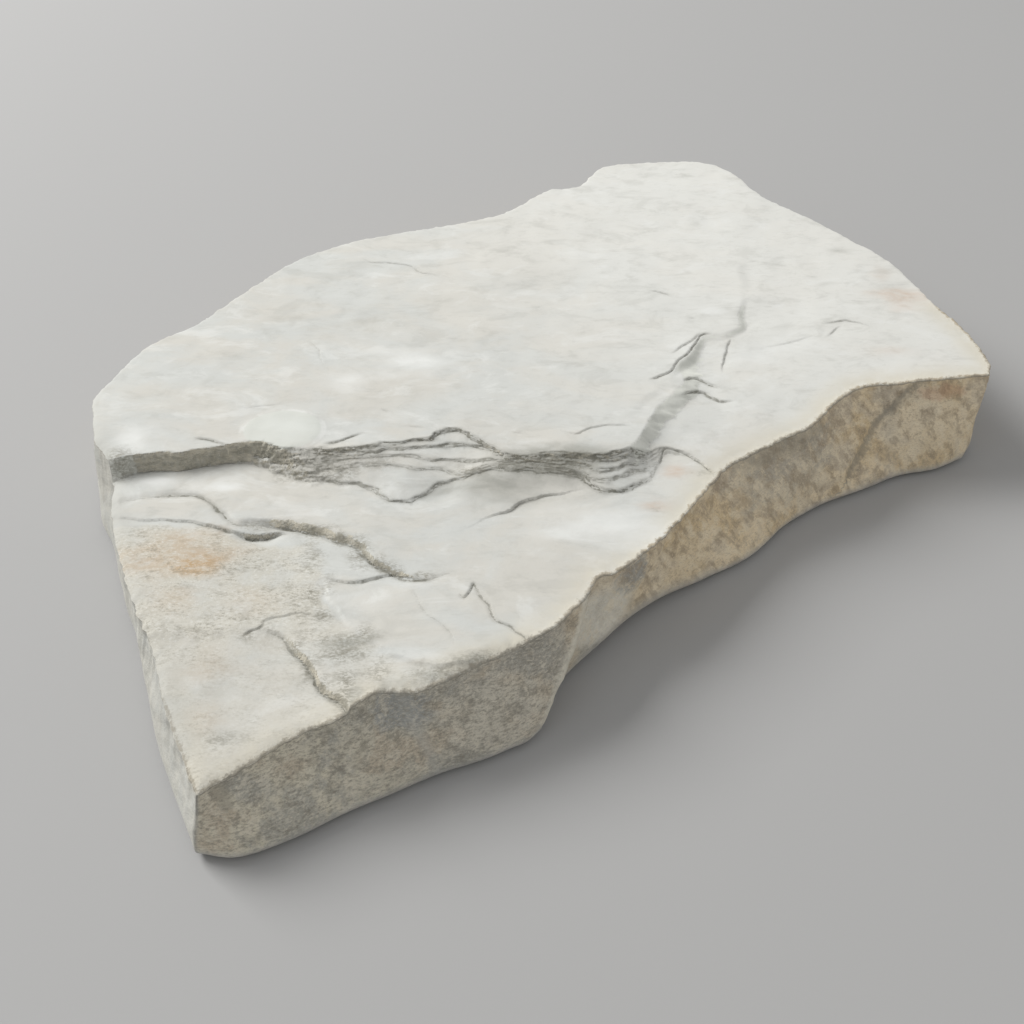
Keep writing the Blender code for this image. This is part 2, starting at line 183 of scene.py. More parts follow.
# Edges of the beds that step down from UPPER_BED to LOWER_BED, one line each. The high side is
# on the left of the line.
BED_EDGES = (
    ((-192, 63), (-174, 55), (-161, 51), (-143, 40), (-123, 32), (-115, 27), (-105, 14),
     (-94, 7), (-82, -1), (-70, -6), (-64, -9), (-57, -12), (-50, -15), (-45, -14), (-41, -14),
     (-36, -18), (-33, -25), (-32, -33), (-30, -41), (-26, -47), (-18, -51), (-9, -57),
     (0, -64), (10, -70), (18, -73), (26, -75), (36, -76), (42, -84), (45, -99), (46, -120)),
    ((-192, 62.6), (-174, 54.6), (-161, 50.6), (-143, 39.6), (-122, 31), (-114, 25.5), (-105, 10),
     (-92, 4), (-80, -4), (-69, -9), (-61, -14), (-55, -17), (-48, -20), (-42, -23),
     (-35, -30), (-31, -38), (-27, -46.5), (-19, -52), (-10, -58), (0, -65.5), (9, -72),
     (18, -75), (26, -77), (36, -76.5), (41.8, -84.3), (44.8, -99), (45.8, -120)),
    ((-192, 62.2), (-174, 54.2), (-161, 50.2), (-143, 39.2), (-122, 30.5), (-113, 23.5), (-104, 7),
     (-91, 0), (-80, -6), (-70, -12), (-61, -18), (-56, -24), (-49, -29), (-43, -34),
     (-34, -42), (-26, -49), (-18, -54), (-10, -60.5), (-3, -67), (3, -73.5), (12, -77),
     (25, -79), (36, -77), (41.6, -84.6), (44.6, -99), (45.6, -120)),
    ((-192, 61.8), (-174, 53.8), (-161, 49.8), (-143, 38.8), (-123, 30.6), (-114, 23), (-104, 4),
     (-91, -4), (-81, -9), (-75, -14), (-68, -21), (-60, -27), (-54, -32), (-49, -38),
     (-37, -43.5), (-26, -50.5), (-17, -57), (-10, -63.5), (-5, -71), (1, -77.5), (13, -81),
     (26, -81), (35, -78), (41.4, -84.9), (44.4, -99), (45.4, -120)),
    ((-192, 61.4), (-174, 53.4), (-161, 49.4), (-143, 38.4), (-123, 30), (-116, 22.5), (-109, 8),
     (-101, -2), (-91, -13), (-85, -21), (-83, -29), (-81, -34), (-75, -38), (-68, -37.5),
     (-61, -36.5), (-52, -39), (-45, -42), (-37, -45.5), (-30, -50), (-22, -56), (-13, -63),
     (-8, -68), (-5, -75), (-2, -81), (3, -85), (11, -86.5), (21, -85), (34, -79),
     (41.2, -85.2), (44.2, -99), (45.2, -120)),
)

# Part of the fall is a plain slope, from the first edge to this line.
SLOPE_FOOT = ((-192, 59), (-174, 51), (-164, 47), (-143, 36), (-123, 26), (-115, 19), (-109, 7),
              (-101, -3), (-92, -14), (-86, -22), (-84, -30), (-82, -35), (-75, -40), (-66, -41),
              (-56, -44), (-46, -50), (-36, -57), (-26, -63), (-16, -70), (-9, -77), (-2, -84),
              (4, -87), (11, -88), (21, -87), (33, -81), (40.7, -85.6), (43.7, -99), (44.7, -120))
SHARE_PLACES = (-60.0, -30.0)          # each edge's two shares and darknesses hold for these x
BED_DARKNESS = ((1.0, 1.0), (0.8, 0.8), (0.7, 0.8), (0.6, 0.7), (0.7, 0.9))
BED_SHARES = ((0.24, 0.26), (0.20, 0.22), (0.16, 0.18), (0.14, 0.14), (0.26, 0.20))

# A shallow shell-shaped hollow opens from the ledge towards the right front. Its high side is
# cut by a branch of the ledge: a slope from a head line to a ragged foot line that run up the
# slab and die out.
HOLLOW_AT = (45.0, -118.0)
HOLLOW_REACH = (135.0, 110.0)
HOLLOW_DEPTH = 9.6
HOLLOW_CURVE = 1.25
HOLLOW_HEAD = ((0, -104), (6, -90), (14, -77), (26, -69), (37, -63), (52, -55), (63, -51),
               (71, -49), (76, -40), (87, -33), (95, -29), (103, -26), (118, -28), (136, -18),
               (150, -2))
HOLLOW_FOOT = ((6, -104), (16, -92), (23, -79), (32, -71), (42, -67), (52, -63), (62, -60),
               (71, -57), (80, -50), (86, -42), (94, -37), (104, -34), (120, -36), (138, -26),
               (152, -10))
FOOT_SPLINTERS = (4.0, 2.6)            # how far the slope's foot is splintered
SMALL_CUT = 1.2                        # a lesser cut shows no broken slope
NO_CUT = 0.15                          # and a still lesser one needs no points of its own

# Lower ledges: (x, y, drop, darkness of the seam) along each line, with the high side on the
# left.
SECOND_LEDGE = ((-182, 40, 0.4, 0.1), (-165, 34, 0.6, 0.6), (-154, 27, 0.9, 1.0),
                (-146, 18, 1.0, 1.0), (-143, 3, 1.1, 0.9), (-142, -6, 1.2, 0.4),
                (-137, -9, 1.5, 0.1), (-132, -12, 2.6, 0.2), (-127, -17, 3.2, 0.9),
                (-121, -23, 3.3, 1.0), (-115, -31, 3.2, 0.9), (-110, -41, 3.0, 0.7),
                (-107, -54, 2.8, 1.0), (-105, -66, 2.6, 1.0), (-99, -77, 2.0, 1.0),
                (-92, -82, 1.0, 0.7), (-80, -84, 0.0, 0.0))
SIDE_LEDGE = ((-186, 33, 0.3, 0.1), (-176, 22, 0.5, 0.4), (-166, 15, 0.6, 0.6),
              (-156, 6, 0.8, 0.7), (-150, -3, 0.9, 0.9), (-146, -9, 0.6, 0.8),
              (-143, -13, 0.3, 0.3))
RETURN_LEDGE = ((-128, -52, 0.0, 0.0), (-125, -59, 0.5, 0.8), (-120, -64, 0.7, 0.9),
                (-113, -67, 0.7, 0.9), (-103, -72, 0.6, 0.8), (-97, -80, 0.0, 0.0))
SKIN_EDGE = ((-129, -46, 0.0, 0.0), (-129, -56, 0.6, 0.05), (-133, -66, 0.8, 0.05),
             (-134, -80, 0.8, 0.05), (-132, -96, 0.9, 0.05), (-127, -111, 1.0, 0.05),
             (-119, -122, 1.0, 0.1), (-108, -129, 1.0, 0.1), (-100, -140, 0.8, 0.0))
FOURTH_LEDGE = ((-166, -64, 0.0, 0.0), (-159, -69, 1.2, 0.4), (-157, -78, 2.0, 0.6),
                (-157, -90, 2.4, 1.0), (-158, -104, 2.4, 1.0), (-156, -116, 2.2, 1.0),
                (-155, -132, 2.0, 0.8))
PIT_LEDGE = ((-146, -9, 0.0, 0.0), (-143, -13, 1.6, 0.9), (-139, -16, 2.2, 1.0),
             (-134, -18, 2.0, 1.0), (-129, -20, 0.8, 0.6), (-124, -25, 0.0, 0.0))
BRANCH_PLACES = (18.0, 40.0)           # the ledge's fall dies out between these x
BRANCH_KEEPS = 0.35
BRANCH_WIDTH = 4.6                     # of the branch's slope in plan, where it drops in full
BRANCH_FULL = 2.2
BRANCH_SKIN = 0.4                      # how much narrower its pale skin is on each side
BRANCH_SLOPE = ((66, -44, 0.0, 0), (72, -42, 1.0, 0), (79, -39, 2.2, 0), (87, -36, 2.4, 0),
                (96, -31, 2.0, 0), (104, -29, 1.2, 0), (112, -32, 0.8, 0), (119, -33, 1.6, 0),
                (127, -27, 2.0, 0), (134, -21, 1.2, 0), (141, -13, 0.0, 0))

# Each with how far its drop reaches before the surface has risen again (0 where the ground
# beyond rises by itself), and how wide its slope is in plan.
LOW_LEDGES = (
    (SECOND_LEDGE, 0.0, 3.6),
    (SIDE_LEDGE, 60.0, 0.8),
    (RETURN_LEDGE, 30.0, 0.7),
    (SKIN_EDGE, 45.0, 2.0),
    (FOURTH_LEDGE, 95.0, 2.4),
    (PIT_LEDGE, 9.0, 1.4),
    (BRANCH_SLOPE, 45.0, BRANCH_WIDTH),
)

# Single laminae that end in a fine step: (drop, reach, darkness of the seam, line), with the
# high side on the left of the line.
FINE_STEPS = (
    (0.9, 12.0, 1.0, ((71, -48), (76, -47), (80, -49), (82, -55), (85, -61))),
    (0.9, 12.0, 1.0, ((62, -54), (69, -54), (75, -57), (77, -62), (79, -67), (84, -72))),
    (0.6, 8.0, 0.9, ((56, -39), (63, -40), (70, -40), (80, -35), (86, -33), (96, -28),
                     (103, -26), (108, -28))),
    (0.6, 10.0, 0.5, ((91, -52), (98, -47), (104, -42), (109, -37), (113, -35))),
    (0.5, 8.0, 0.6, ((78, -29), (87, -27), (96, -26), (104, -25))),
    (0.6, 14.0, 0.8, ((-90, -95), (-89, -99), (-85, -97), (-82, -95), (-82, -102), (-84, -111),
                      (-85, -119), (-83, -124), (-82, -130), (-81, -138))),
    (0.25, 10.0, 0.3, ((-102, -81), (-105, -93), (-105, -105), (-105, -114), (-107, -121))),
    (0.5, 16.0, 0.8, ((-172, -64), (-168, -64), (-164, -64), (-159, -62))),
    (0.4, 16.0, 0.4, ((-163, -64), (-159, -62), (-154, -63), (-147, -66), (-140, -73))),
    (0.2, 12.0, 0.2, ((-112, 57), (-100, 49), (-88, 42))),
    (0.3, 12.0, 0.4, ((2, 132), (7, 124), (13, 117), (19, 110), (21, 101), (28, 94))),
    (0.25, 8.0, 0.3, ((31, 126), (42, 119))),
    (0.5, 9.0, 1.0, ((-137, 47), (-133, 43), (-130, 39), (-128, 35), (-127, 32))),
    (0.5, 8.0, 1.0, ((-92, 10), (-86, 7), (-79, 6), (-72, 3))),
    (0.4, 8.0, 0.8, ((-57, 16), (-54, 8))),
    (0.2, 8.0, 0.3, ((-56, 1), (-51, -5), (-46, -10))),
    (0.3, 8.0, 0.4, ((-21, -30), (-11, -41))),
    (0.4, 9.0, 0.4, ((-1, -43), (4, -51), (14, -52), (23, -56), (31, -61))),
    (0.4, 8.0, 0.5, ((103, 20), (109, 14), (112, 7))),
    (0.4, 6.0, 0.7, ((105, -10), (110, -14))),
    (0.5, 10.0, 0.5, ((155, -50), (165, -57), (169, -60), (174, -72))),
    (0.4, 10.0, 0.4, ((148, -61), (156, -60), (164, -60))),
    (0.3, 10.0, 0.2, ((114, -47), (134, -54), (149, -59))),
    (0.35, 18.0, 0.3, ((-59, 84), (-57, 74), (-62, 52))),
    (0.3, 12.0, 1.0, ((26, -83), (31, -80), (36, -77), (39, -79), (41, -84), (43, -91),
                      (44, -96), (44, -103), (45, -112))),
)
FINE_DROP = 0.6                        # the share of its drop and of its darkness that each
FINE_DARKNESS = 0.75                   # fine step keeps
FINE_LIFT = 0.35                       # how much the ground lifts before a fine step
GROOVE_WIDTH = 0.4                     # a groove runs in each seam
GROOVE_DEPTH = 0.35
SEAM_HALF = 0.35                       # half as wide as a lower ledge's seam is fully dark
NO_SEAM = 4.0                          # the gap that is stored where no seam is near

# In front of the second ledge the ground rises again to the right, from this place on.
RISE_AT = (-112.0, -36.0)
RISE_TOWARDS = (0.8, -0.6)
RISE_REACH = 75.0

# The scoop at the foot of the main ledge slopes down from it and ends in its own thin lip.
SCOOP_LIP = ((-74, -60, 0.0), (-67, -65, 0.1), (-55, -66, 0.3), (-43, -67, 0.9), (-34, -67, 1.0),
             (-26, -69, 0.8), (-15, -74, 0.4), (-4, -77, 0.2), (2, -84, 0.0))
SCOOP_REACH = 18.0
SCOOP_SLOPE = 3.4                      # how many times the lip's height it rises behind it
SCOOP_AT = (-33.0, -58.0)              # it fades out at the edge of an oval
SCOOP_SIZE = (40.0, 27.0)
SCOOP_ENDS = 2.5
LIP_DARKNESS = 0.6

# A low oval disc stands a few tenths of a millimetre proud just behind the ledge.
DISC_AT = (-101.0, 28.0)
DISC_SIZE = (18.0, 14.0)
DISC_TURN = math.radians(-35.5)
DISC_RISE = 0.45
DISC_EDGE = (1.08, 0.16)               # where its edge ends and how wide it is, as shares

# The left end falls away, most of all at its front corner.
END_TILT_FROM = -150.0
END_TILT = 0.03
CORNER_AT = (-222.0, -121.0)
CORNER_REACH = 64.0
CORNER_DROP = 5.0

# The bed is broken off along a stretch of the long rim left of the notch.
CHAMFER = ((-140, -125), (-128, -131), (-116, -134), (-104, -135), (-92, -137), (-84, -138))
CHAMFER_WIDTH = 8.0
CHAMFER_DEPTH = 2.4
CHAMFER_RAGGED = (5.0, 1.6)

# The splinters of broken laminae all lie along one direction in plan.
SPLINTER_ALONG = np.array((0.814, -0.581))
SPLINTER_ACROSS = np.array((0.581, 0.814))
SPLINTER_STRETCH = 3.0

CURVE_POINTS = 4
RISER_WIDTH = 0.5                      # how wide one lamina's riser is in plan
RISER_PLACES = (-192.0, -172.0, -118.0, -104.0)
RISER_WIDTHS = (2.0, 1.2, 1.2, 0.5)    # the left part is one tall face
TIP_PLACES = (-174.0, -158.0, 8.0, 34.0)   # the tall face is paler at its tips
TIP_SHARES = (0.1, 1.0, 1.0, 0.2)
TIP_SEAMS = (0.2, 1.0)                 # its seams are fainter at the left tip
TIP_PALE_FROM = -163.0                 # left of this place it has the branch's pale skin
BROAD_PLACES = (-118.0, -106.0, -95.0, -65.0, -50.0, -20.0, 20.0)
BROAD_SHARES = (0.0, 0.25, 0.65, 0.70, 0.50, 0.50, 0.50)   # share of the fall that is no step
LAMINAE = 3                            # laminae in each bed edge
LAMINA_REACH = 9.0                     # no lamina strays further than this from its bed edge
LAMINA_SPLINTERS = (3.2, 0.8)
LAMINA_APART = 41.0                    # sets each lamina's ragged edge apart from the others'
SPREAD_PLACES = (-190.0, -165.0, -120.0, -105.0, -90.0, -60.0, -25.0, 15.0, 40.0)
SPREADS = (1.6, 0.8, 1.1, 3.4, 1.8, 1.0, 1.6, 1.6, 0.6)
SEAM_DARKNESS = 0.9
FULL_HEIGHT = 5.0                      # a lower ledge than this has fainter seams
TALL_HALF = 1.5                        # half as wide in plan as one edge's tall face
TALL_FADE = 3.0
LOW_TALL = 2.4                         # a lower ledge's face is fully dark from this drop on
LOW_FADE = 1.5
SWELL = (90.0, 0.9)                    # relief of the beds' faces
UNEVENNESS = (22.0, 0.3)
RIPPLES = (7.0, 0.10)
WANDER = (14.0, 1.6)                   # how far the ledges' lines stray, and how raggedly
RAGGED = (3.0, 0.45)
FINE_REACH = 6.0                       # how far from its line a fine step needs its true place
FAINTEST = 0.02                        # a fainter seam isn't noted
LEAST_DROP = 0.1                       # a ledge needs no points of its own where it drops less
LEAST_HEIGHT = 0.15                    # the least that a seam's darkness keeps for a low ledge


def side_of(place, line):
    """Signed distance from a line (positive on its right) and the nearest point's station."""
    best = np.full(len(place), np.inf)
    signed = np.zeros(len(place))
    station = np.zeros(len(place))
    for index, (start, stop) in enumerate(zip(line[:-1, :2], line[1:, :2])):
        run = stop - start
        offset = place - start
        share = np.clip(offset @ run / (run @ run), 0.0, 1.0)
        offset -= share[:, None] * run
        distance = offset[:, 0] ** 2 + offset[:, 1] ** 2
        nearer = distance < best
        best[nearer] = distance[nearer]
        station[nearer] = index + share[nearer]
        right = run[1] * offset[nearer, 0] - run[0] * offset[nearer, 1] >= 0.0
        signed[nearer] = np.where(right, 1.0, -1.0)
    return signed * np.sqrt(best), station


def beside(place, line, reach):
    """Which places lie within reach of a line's box."""
    low = line[:, :2].min(axis=0) - reach
    high = line[:, :2].max(axis=0) + reach
    return np.all((place > low) & (place < high), axis=1)


def drop_near(place, line):
    """The drop written in a line's third column, blended over the nearest parts of the line."""
    total = np.zeros(len(place))
    weights = np.zeros(len(place))
    for middle in 0.5 * (line[:-1] + line[1:]):
        offset = place - middle[:2]
        weight = (offset[:, 0] ** 2 + offset[:, 1] ** 2 + 1.0) ** -2
        total += weight * middle[2]
        weights += weight
    return total / weights


def splintered(place):
    """Places with the direction of the splinters pressed together."""
    return np.column_stack([place @ SPLINTER_ALONG / SPLINTER_STRETCH, place @ SPLINTER_ACROSS])


def wander(place):
    """The places moved about a little, which makes a ledge's line ragged."""
    across = relief(place, WANDER) + relief(splintered(place), RAGGED, 3)
    along = relief(place + NOISE_START_ACROSS, WANDER)
    along += relief(splintered(place) + NOISE_START_ACROSS, RAGGED, 3)
    return place + np.column_stack([across, along])


def smooth_line(points):
    """A ledge's smooth line through the points that give its course."""
    return curve_through(np.array(points, float), CURVE_POINTS)


def lamina_offset(place, index):
    """How far one lamina's edge lies past its bed edge's line at each place."""
    spread = np.interp(place[:, 0], SPREAD_PLACES, SPREADS)
    ragged = relief(splintered(place) + LAMINA_APART * index, LAMINA_SPLINTERS, 3)
    return spread * ((index % LAMINAE + 0.5) / LAMINAE - 0.5 + ragged)


def riser_width(place):
    """How wide a lamina's riser is in plan at each place."""
    return np.interp(place[:, 0], RISER_PLACES, RISER_WIDTHS)


def split_fall(signed, place, seed):
    """One bed edge's fall, 0 to 1, shared among its laminae, and the gap to a lamina's foot."""
    fall = (signed > 0.0).astype(float)
    gap = np.full(len(place), NO_SEAM)
    close = np.abs(signed) < LAMINA_REACH
    width = riser_width(place[close])
    total = np.zeros(close.sum())
    nearest = np.full(close.sum(), NO_SEAM)
    for index in range(LAMINAE * seed, LAMINAE * (seed + 1)):
        past = signed[close] - lamina_offset(place[close], index)
        total += smooth_step(past / width)
        nearest = np.minimum(nearest, np.abs(past - width))
    fall[close] = total / LAMINAE
    gap[close] = nearest
    return fall, gap


def upper_ground(place, spot):
    """The upper bed with the hollow in it, the distance to its edge, and how far inside."""
    out = np.hypot(*((place - HOLLOW_AT) / HOLLOW_REACH).T)
    sunk = HOLLOW_DEPTH * np.clip(1.0 - out, 0.0, 1.0) ** HOLLOW_CURVE
    past_head, _ = side_of(spot, smooth_line(HOLLOW_HEAD))
    past_foot, _ = side_of(spot, smooth_line(HOLLOW_FOOT))
    past_foot += relief(splintered(place), FOOT_SPLINTERS, 3)
    width = np.maximum(past_head - past_foot, RISER_WIDTH)
    cut = np.where(past_foot > 0.0, 1.0, np.clip(past_head / width, 0.0, 1.0))
    within = np.clip(np.minimum(past_head, -past_foot), -NO_SEAM, NO_SEAM)
    within -= np.where(sunk > SMALL_CUT, 0.0, 2.0 * NO_SEAM)
    nearest = np.where(sunk > NO_CUT, np.abs(np.minimum(within, 0.0)), np.inf)
    return UPPER_BED - sunk * cut, nearest, within


def add_seam(seams, which, gap, darkness):
    """Note a ledge's seam at places where it is nearer than the seam that is noted already."""
    nearer = (gap < seams[0, which]) & (darkness > FAINTEST)
    which = which[nearer]
    seams[0, which] = gap[nearer]
    seams[1, which] = darkness[nearer]


def main_fall(place, spot):
    """The main ledge: how much of its fall is done, distance, seams and how tall it is."""
    stepped = np.zeros(len(spot))
    nearest = np.full(len(spot), np.inf)
    seams = np.vstack([np.full(len(spot), NO_SEAM), np.zeros(len(spot))])
    tall = np.zeros(len(spot))
    past_head, _ = side_of(spot, smooth_line(BED_EDGES[0]))
    for seed, (points, shares) in enumerate(zip(BED_EDGES, BED_SHARES)):
        signed, _ = side_of(spot, smooth_line(points))
        share = np.interp(place[:, 0], SHARE_PLACES, shares)
        fall, seam = split_fall(signed, place, seed)
        stepped += share * fall
        tall += share * (1.0 - smooth_step((np.abs(signed) - TALL_HALF) / TALL_FADE))
        dark = SEAM_DARKNESS * np.interp(place[:, 0], SHARE_PLACES, BED_DARKNESS[seed])
        add_seam(seams, np.arange(len(spot)), seam, dark)
        nearest = np.minimum(nearest, np.abs(signed))
    past_foot, _ = side_of(spot, smooth_line(SLOPE_FOOT))
    sloped = np.clip(past_head / np.maximum(past_head - past_foot, RISER_WIDTH), 0.0, 1.0)
    sloped = np.where(past_foot > 0.0, 1.0, sloped)
    broad = np.interp(place[:, 0], BROAD_PLACES, BROAD_SHARES)
    return stepped + broad * (sloped - stepped), nearest, seams, tall


def low_drops(place, spot, seams):
    """How far the lower ledges drop the ground, the distance to them, and how tall they are."""
    total = np.zeros(len(place))
    nearest = np.full(len(place), np.inf)
    tall = np.zeros(len(place))
    every = np.arange(len(place))
    risen = smooth_step((place - RISE_AT) @ RISE_TOWARDS / RISE_REACH)
    for points, reach, width in LOW_LEDGES:
        line = smooth_line(points)
        signed, station = side_of(spot, line)
        drop = drop_near(spot, line)
        fade = smooth_step(signed / reach) if reach > 0.0 else risen
        total += drop * smooth_step(signed / width + 0.5) * (1.0 - fade)
        gap = np.clip(np.abs(signed - 0.5 * width) - SEAM_HALF, 0.0, None)
        shade = np.interp(station, np.arange(len(line)), line[:, 3]) * np.clip(drop, 0.0, 1.0)
        add_seam(seams, every, gap, shade)
        total += GROOVE_DEPTH * shade * np.exp(-(gap / GROOVE_WIDTH) ** 2)
        close = 1.0 - smooth_step((np.abs(signed) - 0.5 * width) / LOW_FADE)
        tall = np.maximum(tall, close * np.clip(drop / LOW_TALL, 0.0, 1.0) * shade)
        nearest = np.minimum(nearest, np.where(drop > LEAST_DROP, np.abs(signed), np.inf))
    return total, nearest, tall


def fine_drops(spot, seams):
    """How far the single laminae drop the ground, and the distance to them."""
    total = np.zeros(len(spot))
    nearest = np.full(len(spot), np.inf)
    for drop, reach, darkness, points in FINE_STEPS:
        line = smooth_line(points)
        darkness = FINE_DARKNESS * darkness
        close = np.flatnonzero(beside(spot, line, reach + FINE_REACH))
        signed, station = side_of(spot[close], line)
        ends = smooth_step(np.minimum(station, len(line) - 1 - station) / CURVE_POINTS)
        fade = 1.0 - smooth_step(signed / reach)
        step = smooth_step(signed / RISER_WIDTH + 0.5)
        before = 1.0 - smooth_step(-signed / (0.5 * reach))
        gap = np.clip(np.abs(signed - 0.5 * RISER_WIDTH) - 0.5 * SEAM_HALF, 0.0, None)
        add_seam(seams, close, gap, darkness * ends)
        total[close] += FINE_DROP * drop * ends * (step * fade - FINE_LIFT * (1.0 - step) * before)
        total[close] += GROOVE_DEPTH * darkness * ends * np.exp(-(gap / GROOVE_WIDTH) ** 2)
        nearest[close] = np.minimum(nearest[close], np.abs(signed))
    return total, nearest


def branch_within(spot):
    """How far inside the branch's broken slope each place is."""
    line = smooth_line(BRANCH_SLOPE)
    signed, _ = side_of(spot, line)
    half = 0.5 * BRANCH_WIDTH * drop_near(spot, line) / BRANCH_FULL
    return np.clip(half - BRANCH_SKIN, -NO_SEAM, None) - np.abs(signed)


def scoop_rise(spot, seams):
    """How far the scoop's floor lies above the lower bed, and the distance to its lip."""
    line = smooth_line(SCOOP_LIP)
    signed, _ = side_of(spot, line)
    ends = smooth_step(SCOOP_ENDS * (1.0 - turned(spot, SCOOP_AT, SCOOP_SIZE, 0.0)))
    drop = drop_near(spot, line) * ends
    behind = smooth_step(0.5 - signed / RISER_WIDTH)
    behind *= 1.0 + SCOOP_SLOPE * np.clip(-signed / SCOOP_REACH, 0.0, 1.0)
    gap = np.abs(signed - 0.5 * RISER_WIDTH)
    add_seam(seams, np.arange(len(spot)), gap, np.clip(2.0 * drop - 1.0, 0.0, LIP_DARKNESS))
    return drop * behind, np.where(drop > LEAST_DROP, np.abs(signed), np.inf)


def turned(place, middle, size, turn):
    """Distance from an oval's middle, as a share of its half sizes."""
    along = np.array((math.cos(turn), math.sin(turn)))
    across = np.array((-along[1], along[0]))
    offset = place - middle
    return np.hypot(offset @ along / size[0], offset @ across / size[1])


def end_fall(place):
    """How far the left end and its front corner fall away."""
    tilt = END_TILT * np.clip(END_TILT_FROM - place[:, 0], 0.0, None)
    corner = np.hypot(*(place - CORNER_AT).T) / CORNER_REACH
    return tilt + CORNER_DROP * np.clip(1.0 - corner, 0.0, 1.0)


def chamfer(place):
    """How much the bed is broken off along a stretch of the long rim."""
    signed, _ = side_of(place, smooth_line(CHAMFER))
    away = np.abs(signed) + relief(place, CHAMFER_RAGGED, 3)
    return CHAMFER_DEPTH * (1.0 - smooth_step(away / CHAMFER_WIDTH))


def upper_face(place):
    """Height of the upper face over places in plan, distance to a ledge, and its markings.

    The markings are the gap to the nearest seam, how dark that is, how tall the ledge is, and
    how far inside the branch's broken slope the place is.
    """
    spot = wander(place)
    upper, to_hollow, within = upper_ground(place, spot)
    fall, to_main, seams, tall = main_fall(place, spot)
    high = np.clip((upper - LOWER_BED - 1.0) / FULL_HEIGHT, LEAST_HEIGHT, 1.0)
    tall *= np.interp(place[:, 0], TIP_PLACES, TIP_SHARES)
    seams[1] *= high * np.interp(place[:, 0], TIP_PLACES[:2], TIP_SEAMS)
    drops, to_low, low_tall = low_drops(place, spot, seams)
    fine, to_fine = fine_drops(spot, seams)
    rise, to_lip = scoop_rise(spot, seams)
    kept = np.interp(place[:, 0], BRANCH_PLACES, (1.0, BRANCH_KEEPS))
    height = upper + (LOWER_BED - upper) * fall * kept + rise * fall - drops - fine
    disc = turned(place, DISC_AT, DISC_SIZE, DISC_TURN)
    height += DISC_RISE * smooth_step((DISC_EDGE[0] - disc) / DISC_EDGE[1]) * (1.0 - fall)
    height -= end_fall(place) + chamfer(place)
    height += relief(place, SWELL) + relief(place, UNEVENNESS) + relief(place, RIPPLES, 3)
    nearest = np.min([to_hollow, to_main, to_low, to_fine, to_lip], axis=0)
    within = np.maximum(within, branch_within(spot)) - 2.0 * NO_SEAM * fall
    tip = np.where((fall > 0.02) & (fall < 0.98), TIP_PALE_FROM - spot[:, 0], -NO_SEAM)
    within = np.clip(np.maximum(within, tip), -NO_SEAM, NO_SEAM)
    return height, nearest, np.vstack([seams, np.maximum(tall * high, low_tall), within])


# --- Slab: its skin of points ------------------------------------------------------------------
# The stone's grain is too fine for points of its own, so points stand close together only
# where a lamina ends, along the rim and down the broken wall.

FOOT_ROUND = 5.0                       # radius of the worn lower edge
FOOT_ROUND_NOTCH = 12.0                # the same, beside the notch in the long side
NOTCH_ROUND_AT = (-18.0, -125.0)
NOTCH_ROUND_REACH = 60.0
RIM_DROP = 0.3                         # how far the worn rim drops
RIM_ROUND = 0.6                        # how far in from the rim it is worn
RIM_ROWS = (0.45, 1.1, 2.2)            # rows of points that follow the rim
SIDE_DROP = 1.6                        # the same at the left end, which is worn rounder
SIDE_ROUND = 3.5
END_SIDE = -150.0                      # the left end starts here, and is in full END_BLEND on
END_BLEND = 30.0

# A furrow runs slantwise down the long wall: its course as (x, height), width and depth.
LONG_WALL_BEFORE = -60.0
FURROW = ((163.0, 50.0), (151.0, 36.0), (137.0, 25.0), (122.0, 13.0))
FURROW_WIDTH = 5.0
FURROW_DEPTH = 2.4

# Right of the notch's sharp arris, the long wall is scooped out: (x, height) of the middle,
# half length and half height, and depth.
NOTCH_SCOOP_AT = (-38.0, 22.0)
NOTCH_SCOOP_SIZE = (30.0, 20.0)
NOTCH_SCOOP_DEPTH = 1.6

# The arris itself, as (x, height): it stands proud of the wall on its left.
ARRIS = ((-45.0, 46.0), (-54.0, 33.0), (-62.0, 25.0), (-73.0, 18.0), (-85.0, 6.0), (-90.0, 0.0))
ARRIS_WIDTH = 6.0
ARRIS_RISE = 2.2

WALL_LUMPS = (26.0, 1.2)
WALL_PITS = (6.0, 0.55)
PITS_AT_RIM = 12.0                     # how fast the pits deepen below the rim
PITS_AT_FOOT = 4.0                     # and above the foot
WALL_LEVELS = 26                       # rings of points down the wall and round its foot
WALL_CROWDING = 1.15                   # above 1 the rings crowd towards the rim
FOOT_LEVELS = 5
LEDGE_STEP = 0.85                      # between the points beside a ledge
LEDGE_BAND = 1.8                       # how far from a ledge they reach
OPEN_STEP = 2.5                        # between the points of open ground
GRID_SEED = 5
GRID_SHIFT = 0.25                      # how far such a point is shifted, in steps
ROW_STEP = 0.65                        # between the points of a row along a lamina's edge
ROW_PAST_FOOT = 0.7                    # the last row lies this far past a ledge's foot
ROW_GAP = 0.3                          # other points keep this far from a row
UNWANDER_ROUNDS = 5                    # a place is found by steps that each correct this
UNWANDER_SHARE = 0.8                   # share of what is still wrong


def wall_lines(points):
    """Signed distances over the long wall from the furrow and from the notch's arris."""
    to_furrow, _ = side_of(points[:, [0, 2]], np.array(FURROW))
    to_arris, _ = side_of(points[:, [0, 2]], np.array(ARRIS))
    off_wall = np.where(points[:, 1] < LONG_WALL_BEFORE, 0.0, 1000.0)
    return to_furrow + off_wall, to_arris + off_wall


def notch_scoop(points):
    """How far inside the notch's scoop each point of the wall lies, from 0 to 1."""
    middle = np.hypot(*((points[:, [0, 2]] - NOTCH_SCOOP_AT) / NOTCH_SCOOP_SIZE).T)
    return np.where(points[:, 1] < LONG_WALL_BEFORE, 1.0 - smooth_step(middle), 0.0)


